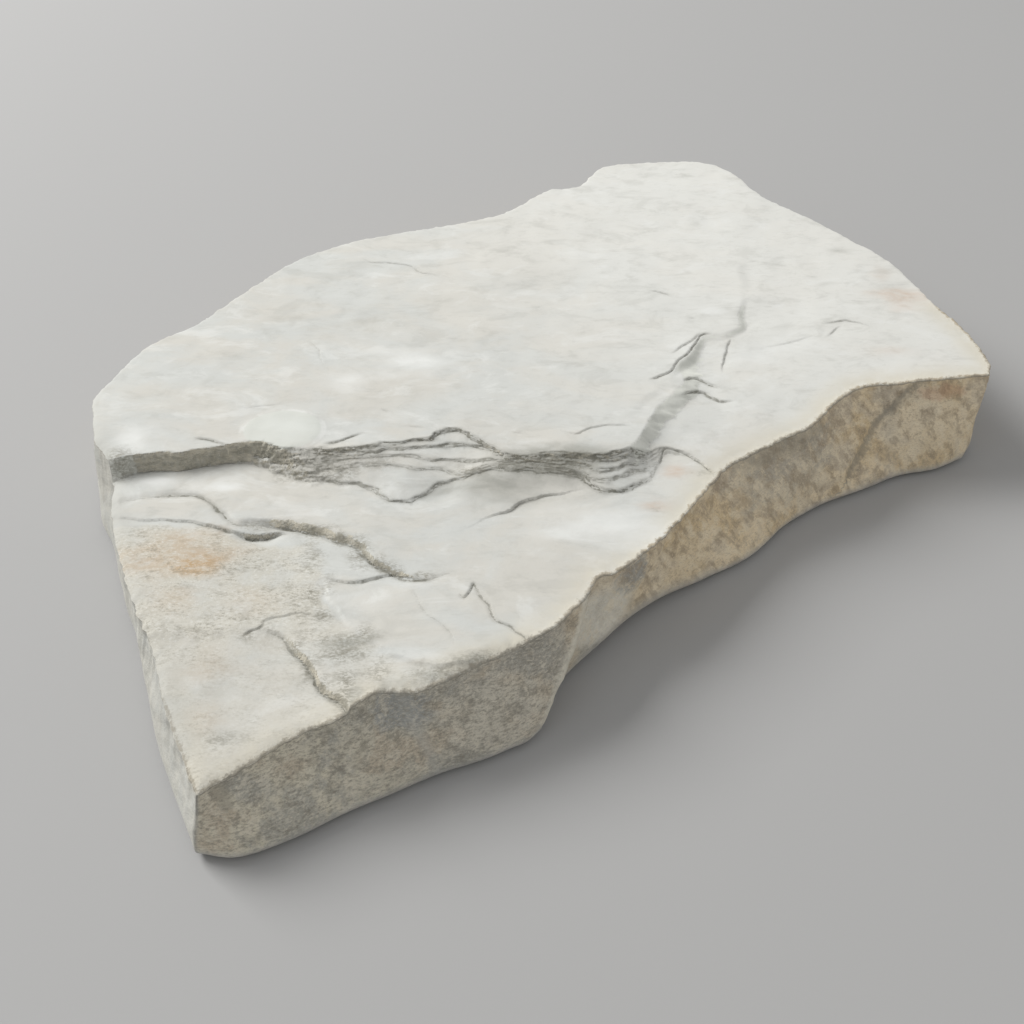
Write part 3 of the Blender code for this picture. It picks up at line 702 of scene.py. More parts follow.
def foot_radius():
    """Radius of the worn lower edge at each point of the rim."""
    near = 1.0 - smooth_step(np.hypot(*(rim_foot - NOTCH_ROUND_AT).T) / NOTCH_ROUND_REACH)
    return FOOT_ROUND + (FOOT_ROUND_NOTCH - FOOT_ROUND) * near


def long_wall_cuts(points):
    """How far the furrow and the notch's scoop cut into the long wall, less the arris."""
    to_furrow, to_arris = wall_lines(points)
    depth = FURROW_DEPTH * (1.0 - smooth_step(np.abs(to_furrow) / FURROW_WIDTH))
    depth += NOTCH_SCOOP_DEPTH * notch_scoop(points)
    return depth - ARRIS_RISE * (1.0 - smooth_step(np.abs(to_arris) / ARRIS_WIDTH))


def wall_rings():
    """Rings of points from the rim down to the flat lower face."""
    at_end = smooth_step((END_SIDE - rim_top[:, 0]) / END_BLEND)
    height = upper_face(rim_top)[0] - RIM_DROP - at_end * (SIDE_DROP - RIM_DROP)
    radius = foot_radius()
    rings = [np.column_stack([rim_top, height])]
    for level in range(1, WALL_LEVELS + 1):
        share = (level / WALL_LEVELS) ** WALL_CROWDING
        lean = 0.5 * (share + smooth_step(share))
        plan = rim_top + (rim_foot - rim_top) * lean
        ring = np.column_stack([plan, height + (radius - height) * share])
        bumps = relief(ring, WALL_LUMPS) - long_wall_cuts(ring)
        bumps = bumps * math.sin(math.pi * share) ** 0.5
        calm = min(1.0, PITS_AT_RIM * share, PITS_AT_FOOT * (1.0 - share))
        bumps += relief(ring, WALL_PITS, 3) * calm
        ring[:, :2] += rim_out * bumps[:, None]
        rings.append(ring)
    for level in range(1, FOOT_LEVELS + 1):
        angle = 0.5 * math.pi * level / FOOT_LEVELS
        plan = rings[WALL_LEVELS][:, :2] - foot_out * (radius * (1.0 - math.cos(angle)))[:, None]
        rings.append(np.column_stack([plan, radius * (1.0 - math.sin(angle))]))
    return rings


def inside(place, ring):
    """Which places lie inside a closed ring."""
    x, y = place.T
    odd = np.zeros(len(place), bool)
    for (start_x, start_y), (stop_x, stop_y) in zip(ring, np.roll(ring, -1, axis=0)):
        if start_y == stop_y:
            continue
        spans = (start_y > y) != (stop_y > y)
        odd ^= spans & (x < start_x + (y - start_y) * (stop_x - start_x) / (stop_y - start_y))
    return odd


def nearest_of(points, place):
    """For each place, the index of the nearest point and the distance to it."""
    tree = kdtree.KDTree(len(points))
    for index, point in enumerate(points.tolist()):
        tree.insert((*point, 0.0), index)
    tree.balance()
    found = [tree.find((*point, 0.0))[1:] for point in place.tolist()]
    return [index for index, _ in found], np.array([distance for _, distance in found])


def grid_points(ring, step):
    """A staggered grid inside a ring, each point shifted a little off its place."""
    low, high = ring.min(axis=0), ring.max(axis=0)
    columns = np.arange(low[0], high[0], step)
    rows = np.arange(low[1], high[1], step * math.sqrt(0.75))
    x, y = np.meshgrid(columns, rows)
    x = x + 0.5 * step * (np.arange(len(rows)) % 2)[:, None]
    random = np.random.default_rng(GRID_SEED)
    points = np.column_stack([x.ravel(), y.ravel()])
    points += random.uniform(-GRID_SHIFT, GRID_SHIFT, points.shape) * step
    return points[inside(points, ring)]


def triangulate(ring, extra):
    """Triangles over a ring's inside, which use the ring's points and the extra ones."""
    points = np.vstack([ring, extra])
    border = [list(range(len(ring)))]
    result = delaunay_2d_cdt([Vector(point) for point in points.tolist()], [], border, 1, 1e-6)
    return [tuple(face) for face in result[2]]


def even_line(points):
    """Points at an even step along a ledge's smooth line, and unit vectors to its right."""
    line = smooth_line(points)[:, :2]
    length = length_along(line)
    line = points_at(line, length, np.arange(0.0, length[-1], ROW_STEP))
    return line, right_of(np.gradient(line, axis=0))


def unwandered(target):
    """The places that wander moves to the given ones."""
    place = target
    for _ in range(UNWANDER_ROUNDS):
        place = place + UNWANDER_SHARE * (target - wander(place))
    return place


def ledge_rows():
    """Rows of points that follow the edge of every lamina, at its crest and at its foot."""
    singles = [(line, 0.5 * width) for line, _, width in LOW_LEDGES]
    singles += [(entry[3], 0.5 * RISER_WIDTH) for entry in FINE_STEPS]
    singles.append((SCOOP_LIP, 0.5 * RISER_WIDTH))
    rows = []
    for line, foot in singles:
        middle, right = even_line(line)
        for offset in (-foot, foot, foot + ROW_PAST_FOOT):
            rows.append(unwandered(middle + offset * right))
    for seed, line in enumerate(BED_EDGES):
        middle, right = even_line(line)
        for index in range(LAMINAE * seed, LAMINAE * (seed + 1)):
            for row in (0.0, 1.0):
                place = unwandered(middle)
                for _ in range(3):
                    offset = lamina_offset(place, index) + row * riser_width(place)
                    place = unwandered(middle + offset[:, None] * right)
                rows.append(place)
    return np.vstack(rows)


def far_enough(points, others, gap):
    """The points that keep a distance from all of the others."""
    return points[nearest_of(others, points)[1] > gap]


def top_points():
    """Points of the upper surface: close together beside the ledges, and wide elsewhere."""
    rows = ledge_rows()
    rows = far_enough(rows[inside(rows, rim_top)], rim_top, RIM_ROWS[-1] + ROW_GAP)
    wide = grid_points(rim_top, OPEN_STEP)
    wide = far_enough(wide, rim_top, RIM_ROWS[-1] + 0.5 * OPEN_STEP)
    to_ledge = upper_face(wide)[1]
    close = grid_points(rim_top, LEDGE_STEP)
    close = close[to_ledge[nearest_of(wide, close)[0]] < LEDGE_BAND + OPEN_STEP]
    close = far_enough(close, rim_top, RIM_ROWS[-1] + 0.5 * LEDGE_STEP)
    close = close[upper_face(close)[1] < LEDGE_BAND]
    close = far_enough(close, rows, ROW_GAP)
    wide = wide[to_ledge > LEDGE_BAND + 0.35 * OPEN_STEP]
    worn = [rim_top - rim_out * row for row in RIM_ROWS]
    worn = [far_enough(row, rim_top, 0.85 * step) for row, step in zip(worn, RIM_ROWS)]
    return np.vstack([rows, close, wide] + worn)


rings = wall_rings()
count = len(rings[0])
plan = top_points()
height, _, (seam_gap, seam_darkness, tallness, in_branch) = upper_face(plan)
_, to_rim = nearest_of(rim_top, plan)
at_end = smooth_step((END_SIDE - plan[:, 0]) / END_BLEND)
height -= RIM_DROP * (1.0 - smooth_step(to_rim / RIM_ROUND))
height -= at_end * (SIDE_DROP - RIM_DROP) * (1.0 - smooth_step(to_rim / SIDE_ROUND))
top = np.column_stack([plan, height])
vertices = np.vstack(rings + [top])
top_start = count * len(rings)

faces = []
for face in triangulate(rim_top, plan):
    faces.append(tuple(i if i < count else i - count + top_start for i in face))
for level in range(len(rings) - 1):
    above, below = level * count, (level + 1) * count
    for i in range(count):
        j = (i + 1) % count
        faces.append((above + i, below + i, below + j, above + j))
base = count * (len(rings) - 1)
for face in triangulate(rings[-1][:, :2], np.empty((0, 2))):
    faces.append(tuple(base + i for i in reversed(face)))

mesh = bpy.data.meshes.new("siltstone slab")
mesh.from_pydata((vertices * MM).tolist(), [], faces)
mesh.validate()
mesh.update()
mesh.shade_smooth()
for edge in mesh.edges:
    if max(edge.vertices) < count:
        edge.use_edge_sharp = True

# --- Slab: where its skin differs --------------------------------------------------------------
# Weather has bleached the beds' faces and stained them with a little iron. Broken edges and
# laminae show the browner, darker inside of the stone. Shade is painted as well: in the seams,
# on undercut risers, along the ledges and in the scoop under the main ledge. Each of these is a
# value at every point.

# Ovals of stain, and some of painted shade: (x, y, half length along the splinters, half width,
# strength).
OCHRE_SPOTS = ((-171, -8, 36, 22, 0.6), (-168, -17, 18, 14, 0.95), (-181, -31, 16, 13, 0.35),
               (-159, -47, 18, 12, 0.2), (-190, -70, 14, 14, 0.2), (-200, -90, 10, 16, 0.15))
ROSY_SPOTS = ((207, -61, 20, 13, 1.0), (33, -89, 11, 7, 1.0), (10, -102, 13, 7, 0.9),
              (170, -90, 22, 8, 0.25), (212, -40, 8, 14, 0.3))
CHALK_SPOTS = ((-27, 38, 26, 14, 1.0), (-58, 42, 18, 10, 0.7), (-101, 28, 22, 18, 0.8),
               (119, -13, 9, 5, 1.0), (116, -52, 22, 11, 0.9), (-158, 61, 15, 13, 1.0),
               (-158, 39, 13, 6, 1.0), (-138, 20, 13, 6, 1.0), (-15, -100, 46, 20, 0.85),
               (-124, -76, 14, 12, 0.25))
# The two long ovals at (-36, -55) and (-10, -59) paint the shade in the scoop under the main
# ledge.
SMOKE_AND_SHADE_SPOTS = ((-32, 85, 45, 14, 0.25), (10, 77, 40, 10, 0.2), (-140, -92, 16, 9, 1.5),
               (212, -9, 9, 4, 0.6), (-36, -55, 46, 15, 1.0), (-201, -101, 10, 6, 0.3),
               (-10, -59, 42, 15, 1.0), (-191, -80, 8, 12, 0.4), (60, 60, 50, 20, 0.15),
               (-118, -130, 22, 6, 0.8), (-98, -134, 18, 5, 0.8), (-112, -44, 8, 12, 0.2),
               (-152, -118, 5, 14, 0.6))
# Ovals of dark grit; along the ledges and in the dark band under the main ledge they also paint
# shade.
GRIT_AND_SHADE_SPOTS = ((-143, -95, 16, 11, 1.0), (-137, -112, 8, 9, 0.8), (-120, -128, 20, 7, 1.0),
              (-99, -134, 18, 6, 1.0), (-202, -103, 12, 7, 0.5), (-152, -112, 6, 20, 1.0),
              (-9, -62, 24, 6, 1.0), (-45, -40, 12, 4, 1.0), (-27, -49, 12, 4, 0.9),
              (-92, -4, 16, 8, 0.7), (14, -79, 14, 5, 0.4), (-113, 8, 10, 8, 0.7),
              (-136, -57, 5, 7, 0.9), (-139, -73, 5, 8, 1.0), (-132, -92, 6, 9, 0.9),
              (-105, -68, 8, 5, 1.0), (-76, -12, 12, 6, 0.5), (208, -62, 8, 5, 0.3),
              (-109, -52, 7, 14, 0.8), (-137, -13, 10, 5, 0.8), (-126, -40, 8, 14, 0.7),
              (-150, -78, 10, 6, 0.6), (-115, -30, 14, 4, 0.6), (-128, -58, 6, 9, 0.8),
              (-118, -29, 6, 4, 1.0), (-112, -40, 4, 6, 1.0), (-108, -52, 4, 8, 1.0),
              (-106, -62, 4, 7, 1.0), (-103, -71, 6, 5, 1.0), (-96, -79, 7, 3, 0.9),
              (-157, -82, 4, 7, 0.9), (-158, -94, 4, 8, 1.0), (-158, -106, 4, 8, 1.0),
              (-156, -120, 4, 8, 1.0), (-169, -65, 7, 4, 1.0), (-160, -67, 5, 4, 0.8),
              (-138, -91, 14, 8, 1.0), (-138, -60, 5, 4, 0.9), (-146, -86, 5, 4, 0.9),
              (-168, 55, 11, 8, 0.9), (39, -98, 8, 3, 0.6), (9, -104, 7, 3, 0.6))
STAIN_EDGE = (9.0, 0.45)

# The flaked ground lies on the right of this line, which goes on along the edge of the skin.
ROUGH_LINE = ((-192, 34), (-176, 20), (-166, 13), (-156, 4), (-150, -5), (-143, -16), (-134, -24),
              (-126, -31), (-121, -38), (-123, -46), *(place[:2] for place in SKIN_EDGE[1:]))
ROUGH_RAGGED = (5.0, 3.0)
ROUGH_EDGE = 3.0
SMOOTHER_AT = (-185.0, -40.0)          # the flaked ground is smoother towards the front left
SMOOTHER_TOWARDS = (-0.5, -0.87)
SMOOTHER_REACH = 35.0
SMOOTHER_SHARE = 0.55
SPILL = 0.60                           # how much of the broken edge's look spills over the rim
SPILL_REACH = 4.5
CREAM_REACH = 16.0                     # how far in from the long rim the bed is creamier
PALE_REACH = 12.0                      # how far in from the left rim the bed is greyer
PALE_FROM = -112.0                     # but not in front of this place
PALE_FACING = 0.45                     # a wall that faces left more than this is greyer too
PALE_BLEND = 0.35
WORN_UP_TO = 1.5                       # in radii of the worn foot, which is greyer below it
FRONT_BLEND = 20.0                     # how softly the front of the slab begins
RIM_BROKEN = 0.5                       # the rim itself is half broken edge, half bed
RISER_FROM = 0.10                      # a riser starts where the face leans this much
RISER_FULL = 0.30


def stain(place, spots):
    """How strongly a list of ovals stains each place."""
    total = np.zeros(len(place))
    ragged = relief(splintered(place), STAIN_EDGE, 3)
    for x, y, along, across, strength in spots:
        out = turned(place, (x, y), (along, across), DISC_TURN) + ragged
        total = np.maximum(total, strength * (1.0 - smooth_step(out)))
    return total


def rough_ground(place):
    """Where the skin of the lower bed has flaked off and left a grainy face."""
    past, _ = side_of(place, smooth_line(ROUGH_LINE))
    past += relief(splintered(place), ROUGH_RAGGED, 3)
    smoother = smooth_step((place - SMOOTHER_AT) @ SMOOTHER_TOWARDS / SMOOTHER_REACH)
    return smooth_step(past / ROUGH_EDGE) * (1.0 - SMOOTHER_SHARE * smoother)


def value_at_points(name, values):
    """Store one value for each point of the mesh."""
    layer = mesh.attributes.new(name, "FLOAT", "POINT")
    layer.data.foreach_set("value", np.asarray(values, np.float32))


def over_all(on_walls, on_bed):
    """The same value for every point of the walls, and the given ones for the bed's points."""
    return np.concatenate([np.full(top_start, on_walls), on_bed])


normals = np.empty(3 * len(vertices), np.float32)
mesh.vertex_normals.foreach_get("vector", normals)
lean = 1.0 - normals.reshape(-1, 3)[top_start:, 2]
steep = smooth_step((lean - RISER_FROM) / (RISER_FULL - RISER_FROM))
every_plan = vertices[:, :2]
at_front = smooth_step((LONG_WALL_BEFORE - every_plan[:, 1]) / FRONT_BLEND)
spill = SPILL * at_front[top_start:] * (1.0 - smooth_step(to_rim / SPILL_REACH))
brokenness = over_all(1.0, spill)
brokenness[:count] = RIM_BROKEN
worn = smooth_step(WORN_UP_TO - vertices[:top_start, 2] / np.tile(foot_radius(), len(rings)))
pale_side = smooth_step((-rim_out[:, 0] - PALE_FACING) / PALE_BLEND)
pale_top = at_end * (1.0 - smooth_step(to_rim / PALE_REACH))
pale_top *= smooth_step((plan[:, 1] - PALE_FROM) / FRONT_BLEND)
to_furrow, to_arris = wall_lines(vertices)
creamy = at_front * (1.0 - smooth_step(over_all(0.0, to_rim) / CREAM_REACH))
value_at_points("wall", brokenness)
value_at_points("riser", over_all(0.0, steep * smooth_step(tallness)))
value_at_points("seam", over_all(0.0, seam_darkness))
value_at_points("gap", over_all(NO_SEAM, seam_gap))
value_at_points("branch", over_all(-NO_SEAM, in_branch))
value_at_points("furrow", to_furrow)
value_at_points("arris", to_arris)
value_at_points("scoop", notch_scoop(vertices))
value_at_points("worn", np.concatenate([worn, np.zeros(len(top))]))
value_at_points("pale", np.concatenate([np.tile(pale_side, len(rings)), pale_top]))
value_at_points("rough", rough_ground(every_plan))
value_at_points("cream", creamy)
value_at_points("disc", turned(every_plan, DISC_AT, DISC_SIZE, DISC_TURN))
for name, spots in (("ochre", OCHRE_SPOTS), ("rosy", ROSY_SPOTS), ("chalk", CHALK_SPOTS),
                    ("smoke_and_shade", SMOKE_AND_SHADE_SPOTS), ("grit_and_shade", GRIT_AND_SHADE_SPOTS)):
    value_at_points(name, stain(every_plan, spots))

# --- Slab: the stone ---------------------------------------------------------------------------
# Fine-grained siltstone: dull, never glossy, pale and a little warm on the beds, and brown-grey
# with fine speckle where it is broken.

# Colours of the beds, of their stains, and of the inside that shows where they are broken.
# The seam, riser, smoke and grit colours also serve as painted shade.
BED_COOL = (0.606, 0.618, 0.596)
BED_WARM = (0.622, 0.610, 0.565)
BED_LIGHT = (0.750, 0.750, 0.715)
CHALK = (0.765, 0.775, 0.755)
CREAM = (0.660, 0.625, 0.530)
# smoky grey, also used for painted shade
SMOKE_AND_SHADE = (0.390, 0.390, 0.355)
OCHRE = (0.500, 0.350, 0.200)
ROSY = (0.600, 0.480, 0.385)
DISC_PALE = (0.640, 0.665, 0.620)
FLAKED = (0.590, 0.560, 0.480)
# dark grit, also used for painted shade
GRIT_AND_SHADE = (0.270, 0.258, 0.215)
# inside of the stone, darkened by painted shade where a ledge is undercut
RISER_INSIDE_AND_SHADE = (0.430, 0.410, 0.340)
RISER_PALE = (0.640, 0.595, 0.490)
BRANCH_PALE = (0.735, 0.745, 0.695)
# dirt and painted shade in the seams
SEAM_DIRT_AND_SHADE = (0.200, 0.195, 0.165)

# Colours of the broken edge all round, and of its worn and bleached parts.
WALL_LEFT = (0.760, 0.710, 0.575)
WALL_MID = (0.500, 0.480, 0.425)
WALL_RIGHT = (0.930, 0.780, 0.550)
WALL_GREY = (0.470, 0.462, 0.415)
WALL_DUN = (0.680, 0.590, 0.450)
WALL_BROWN = (0.610, 0.530, 0.415)
WALL_OCHRE = (0.780, 0.610, 0.370)
WALL_DARK = (0.320, 0.295, 0.245)
WALL_TAN = (0.400, 0.320, 0.225)
WALL_PALE = (0.820, 0.765, 0.640)
WALL_SAND = (0.960, 0.840, 0.630)
WALL_RED = (0.600, 0.330, 0.210)
WALL_BLUE = (0.400, 0.415, 0.410)
# painted light in the scoop by the notch
NOTCH_PAINTED_LIGHT = (0.880, 0.850, 0.750)
# painted highlight along the notch's arris
ARRIS_HIGHLIGHT = (0.860, 0.820, 0.700)
FOOT_GREY = (0.620, 0.620, 0.590)
SIDE_PALE = (0.520, 0.522, 0.490)
ROUGHNESS = (0.80, 0.97)
SHEEN = 0.25
WALL_SLANT = math.radians(28.0)        # the broken edge's streaks lean this far on the right

stone = bpy.data.materials.new("siltstone")
stone.use_nodes = True
tree = stone.node_tree
shader = tree.nodes["Principled BSDF"]


def put(kind, inputs=None, **settings):
    """A node with its settings; each input is a value or another node's output."""
    node = tree.nodes.new(kind)
    for name, value in settings.items():
        setattr(node, name, value)
    for name, value in (inputs or {}).items():
        if isinstance(value, bpy.types.NodeSocket):
            tree.links.new(value, node.inputs[name])
        else:
            node.inputs[name].default_value = value
    return node


def noisy(where, size, detail=3.0, roughness=0.55, distortion=0.0):
    """Noise with lumps of a size in millimetres, from 0 to 1."""
    settings = {"Vector": where, "Scale": 1.0 / size, "Detail": detail,
                "Roughness": roughness, "Distortion": distortion}
    return put("ShaderNodeTexNoise", settings).outputs["Fac"]


def ramp(value, low, high, to_low=0.0, to_high=1.0):
    """A value's smooth way from low to high."""
    inputs = {"Value": value, "From Min": low, "From Max": high,
              "To Min": to_low, "To Max": to_high}
    return put("ShaderNodeMapRange", inputs, interpolation_type="SMOOTHSTEP").outputs["Result"]


def sums(operation, first, *others):
    """Simple arithmetic on values, from left to right."""
    for other in others:
        first = put("ShaderNodeMath", {0: first, 1: other}, operation=operation).outputs[0]
    return first


def times(*values):
    """The values multiplied together."""
    return sums("MULTIPLY", *values)


def plus(*values):
    """The values added together."""
    return sums("ADD", *values)


def unsigned(value):
    """A value without its sign."""
    return sums("ABSOLUTE", value, 0.0)


def blend(share, first, second):
    """One colour over another, by a share from 0 to 1."""
    node = put("ShaderNodeMix", {0: share}, data_type="RGBA")
    for index, colour in ((6, first), (7, second)):
        if isinstance(colour, bpy.types.NodeSocket):
            tree.links.new(colour, node.inputs[index])
        else:
            node.inputs[index].default_value = (*colour, 1.0)
    return node.outputs[2]


def mask(name):
    """A value stored at the mesh's points."""
    return put("ShaderNodeAttribute", attribute_name=name).outputs["Fac"]


def mapped(where, **settings):
    """Places that are turned or scaled for a noise."""
    return put("ShaderNodeMapping", {"Vector": where, **settings}).outputs["Vector"]


metres = put("ShaderNodeTexCoord").outputs["Object"]
in_mm = mapped(metres, Scale=(1.0 / MM, 1.0 / MM, 1.0 / MM))
side = put("ShaderNodeSeparateXYZ", {"Vector": in_mm}).outputs
along_beds = mapped(in_mm, Rotation=(0.0, 0.0, -DISC_TURN))
streaked = mapped(along_beds, Scale=(0.28, 1.0, 1.0))
flaky = mapped(along_beds, Scale=(0.55, 1.0, 1.0))
layered = mapped(in_mm, Scale=(0.35, 0.35, 1.0))
upright = mapped(mapped(in_mm, Rotation=(0.0, WALL_SLANT, 0.0)), Scale=(1.0, 1.0, 0.28))

grain = noisy(in_mm, 0.9, 3.0, 0.7)
speckle = noisy(in_mm, 1.8, 2.0, 0.6)
mottle = noisy(in_mm, 12.0, 4.0, 0.6)
cloud = noisy(flaky, 34.0, 5.0, 0.6, 0.5)
smear = noisy(flaky, 8.0, 5.0, 0.62, 0.4)
wisp = noisy(streaked, 2.2, 3.0, 0.6)

# The beds' faces: cool and warm clouds, lighter towards the right end, under a wash of pale and
# smoky streaks that lie along the splinters.
wash = noisy(flaky, 15.0, 6.0, 0.66, 0.7)
bed = blend(ramp(cloud, 0.38, 0.62), BED_COOL, BED_WARM)
bed = blend(ramp(side["X"], -60.0, 170.0, 0.0, 0.75), bed, BED_LIGHT)
bed = blend(ramp(wash, 0.52, 0.66, 0.0, 0.40), bed, CHALK)
bed = blend(ramp(wash, 0.47, 0.34, 0.0, 0.20), bed, SMOKE_AND_SHADE)
bed = blend(ramp(noisy(flaky, 3.0, 4.0, 0.65), 0.50, 0.70, 0.0, 0.10), bed, SMOKE_AND_SHADE)
bed = blend(times(ramp(smear, 0.52, 0.72), 0.22), bed, SMOKE_AND_SHADE)
bed = blend(times(ramp(wisp, 0.60, 0.74), 0.16), bed, SMOKE_AND_SHADE)

# Stains that have a place of their own, and the low disc with a paler ring at its edge.
bed = blend(times(mask("cream"), ramp(mottle, 0.25, 0.6, 0.4, 0.9)), bed, CREAM)
bed = blend(times(mask("chalk"), ramp(smear, 0.3, 0.6, 0.6, 1.0)), bed, CHALK)
bed = blend(ramp(mask("disc"), 1.02, 0.95, 0.0, 0.6), bed, DISC_PALE)
from_ring = unsigned(sums("SUBTRACT", mask("disc"), 1.03))
ring_share = times(ramp(from_ring, 0.03, 0.10, 0.55, 0.0), ramp(mottle, 0.42, 0.6))
bed = blend(ring_share, bed, CHALK)
bed = blend(times(mask("rosy"), ramp(smear, 0.35, 0.65, 0.4, 1.0)), bed, ROSY)
bed = blend(times(mask("pale"), ramp(smear, 0.3, 0.6, 0.8, 1.0)), bed, SIDE_PALE)

# Flaked ground is warmer, with dark and light flecks, and gritty ground has the most of them.
fleck = noisy(flaky, 0.9, 3.0, 0.7)
clump = noisy(flaky, 2.8, 3.0, 0.6)
flaked = times(mask("rough"), ramp(mottle, 0.35, 0.55, 0.5, 1.0))
bed = blend(times(flaked, 0.6), bed, FLAKED)
# Smoky grey stains, and painted shade in the scoop under the main ledge.
bed = blend(times(mask("smoke_and_shade"), ramp(smear, 0.38, 0.6, 0.55, 1.0)), bed, SMOKE_AND_SHADE)
bed = blend(times(mask("ochre"), ramp(clump, 0.38, 0.60, 0.5, 1.0)), bed, OCHRE)
spread = noisy(flaky, 8.0, 3.0, 0.6)
dark_flecks = times(flaked, ramp(spread, 0.40, 0.62, 0.25, 1.0))
bed = blend(times(dark_flecks, ramp(fleck, 0.52, 0.64, 0.0, 0.60)), bed, GRIT_AND_SHADE)
bed = blend(times(dark_flecks, ramp(clump, 0.50, 0.64, 0.0, 0.38)), bed, GRIT_AND_SHADE)
bed = blend(times(flaked, ramp(fleck, 0.46, 0.34, 0.0, 0.4)), bed, CHALK)

# Risers show the darker inside of the stone, with painted shade where a ledge is undercut, and
# are paler where one thin bed is worn.
thin = noisy(layered, 0.7, 2.0, 0.6)
grit_and_shade = mask("grit_and_shade")
pale_specks = times(ramp(thin, 0.48, 0.66, 0.0, 0.85), ramp(grit_and_shade, 0.0, 1.0, 1.0, 0.2))
riser = blend(ramp(side["Z"], 43.0, 49.0, 0.12, 0.45), RISER_INSIDE_AND_SHADE, RISER_PALE)
worn_bed = noisy(layered, 2.4, 4.0, 0.65)
riser = blend(ramp(worn_bed, 0.47, 0.57, 0.0, 0.80), riser, RISER_PALE)
riser = blend(ramp(worn_bed, 0.46, 0.38, 0.0, 0.50), riser, GRIT_AND_SHADE)
riser = blend(pale_specks, riser, RISER_PALE)
broken_edge = plus(mask("riser"), ramp(noisy(flaky, 1.5, 3.0), 0.25, 0.75, -0.4, 0.4))
broken_edge = times(ramp(broken_edge, 0.2, 0.7), ramp(mask("riser"), 0.0, 0.2))
bed = blend(times(broken_edge, ramp(speckle, 0.35, 0.65, 1.0, 0.7)), bed, riser)

# The slope of the branch has a pale skin. Grit, which along the ledges is also painted shade,
# lies over all of these.
slope_edge = plus(mask("branch"), ramp(noisy(flaky, 1.6, 3.0), 0.25, 0.75, -0.5, 0.5))
bed = blend(ramp(slope_edge, -0.1, 0.5), bed, BRANCH_PALE)
bed = blend(times(grit_and_shade, broken_edge, 0.45), bed, GRIT_AND_SHADE)
bed = blend(times(grit_and_shade, ramp(fleck, 0.46, 0.58, 0.05, 0.75)), bed, GRIT_AND_SHADE)
bed = blend(times(grit_and_shade, ramp(clump, 0.48, 0.60, 0.0, 0.5)), bed, GRIT_AND_SHADE)

# Seams are dark with dirt in the joints and with painted shade of their undercut crevices,
# and open more in some places than in others. A soft painted shadow lies round each seam. They
# are fainter on the tall face.
opening = ramp(noisy(in_mm, 7.0, 3.0), 0.34, 0.66, 0.05, 0.36)
ragged = ramp(noisy(streaked, 0.8, 3.0, 0.6), 0.25, 0.75, -0.2, 0.2)
near_seam = sums("DIVIDE", plus(mask("gap"), ragged), opening)
shut = ramp(noisy(in_mm, 3.2, 3.0), 0.36, 0.60, 0.35, 1.0)
tall_face = times(mask("riser"), ramp(side["X"], -105.0, -125.0))
shut = times(shut, ramp(tall_face, 0.2, 0.8, 1.0, 0.55))
seam = times(mask("seam"), shut, ramp(near_seam, 0.5, 1.5, 1.0, 0.0))
shade = times(mask("seam"), ramp(tall_face, 0.2, 0.8, 1.0, 0.5))
bed = blend(times(shade, ramp(mask("gap"), 0.2, 1.7, 0.30, 0.0)), bed, SEAM_DIRT_AND_SHADE)
bed = blend(seam, bed, SEAM_DIRT_AND_SHADE)

# The broken edge has thin dashes along the beds on the left, and slanting streaks on the right.
# Both are fainter in the scoop by the notch.
shifted = plus(side["X"], times(mottle, 50.0))
to_middle = ramp(shifted, -170.0, -60.0)
to_right = ramp(shifted, -60.0, 30.0)
soft = ramp(to_right, 0.0, 1.0, 1.0, 0.85)
in_scoop = ramp(mask("scoop"), 0.0, 0.6)
soft = times(soft, ramp(in_scoop, 0.0, 1.0, 1.0, 0.35))
pale = blend(to_right, WALL_PALE, WALL_SAND)
dark = blend(to_right, WALL_DARK, WALL_TAN)
grey = blend(to_right, WALL_GREY, WALL_DUN)
streaks = blend(to_right, noisy(layered, 0.8, 4.0, 0.65), noisy(upright, 3.8, 5.0, 0.6))
fine = noisy(layered, 0.55, 3.0, 0.7)

# Its ground colour goes from left to right, with brown, grey and ochre patches.
broken = blend(to_middle, WALL_LEFT, WALL_MID)
broken = blend(to_right, broken, WALL_RIGHT)
patch = noisy(in_mm, 26.0, 4.0, 0.6)
broken = blend(ramp(patch, 0.49, 0.58, 0.0, 0.85), broken, WALL_BROWN)
broken = blend(ramp(patch, 0.48, 0.38, 0.0, 0.85), broken, grey)
ochre_share = times(ramp(noisy(in_mm, 30.0, 3.0), 0.48, 0.60), to_right)
broken = blend(times(ochre_share, 0.75), broken, WALL_OCHRE)
blotch = noisy(in_mm, 7.0, 5.0, 0.65)
spot_edge = ramp(blotch, 0.3, 0.7, -0.5, 0.5)
on_long_wall = ramp(side["Y"], LONG_WALL_BEFORE + 10.0, LONG_WALL_BEFORE - 10.0)

# Ovals on the long wall: (x, height, half length, half height, strength, colour). Some lie
# under the fine marks and some over them.
SPOTS_UNDER = ((82.0, 32.0, 36.0, 20.0, 0.50, WALL_GREY),
               (164.0, 28.0, 24.0, 18.0, 0.50, WALL_SAND),
               (6.0, 17.0, 26.0, 16.0, 0.40, WALL_SAND),
               (-102.0, 19.0, 26.0, 15.0, 0.55, WALL_PALE),
               (-137.0, 31.0, 14.0, 8.0, 0.85, WALL_BLUE),
               (-20.0, 34.0, 11.0, 10.0, 0.80, WALL_BLUE))
SPOTS_OVER = ((84.0, 42.0, 30.0, 8.0, 0.40, WALL_DARK),
              (172.0, 43.0, 10.0, 5.0, 0.35, WALL_RED),
              (-210.0, 29.0, 4.0, 9.0, 0.50, WALL_DARK))


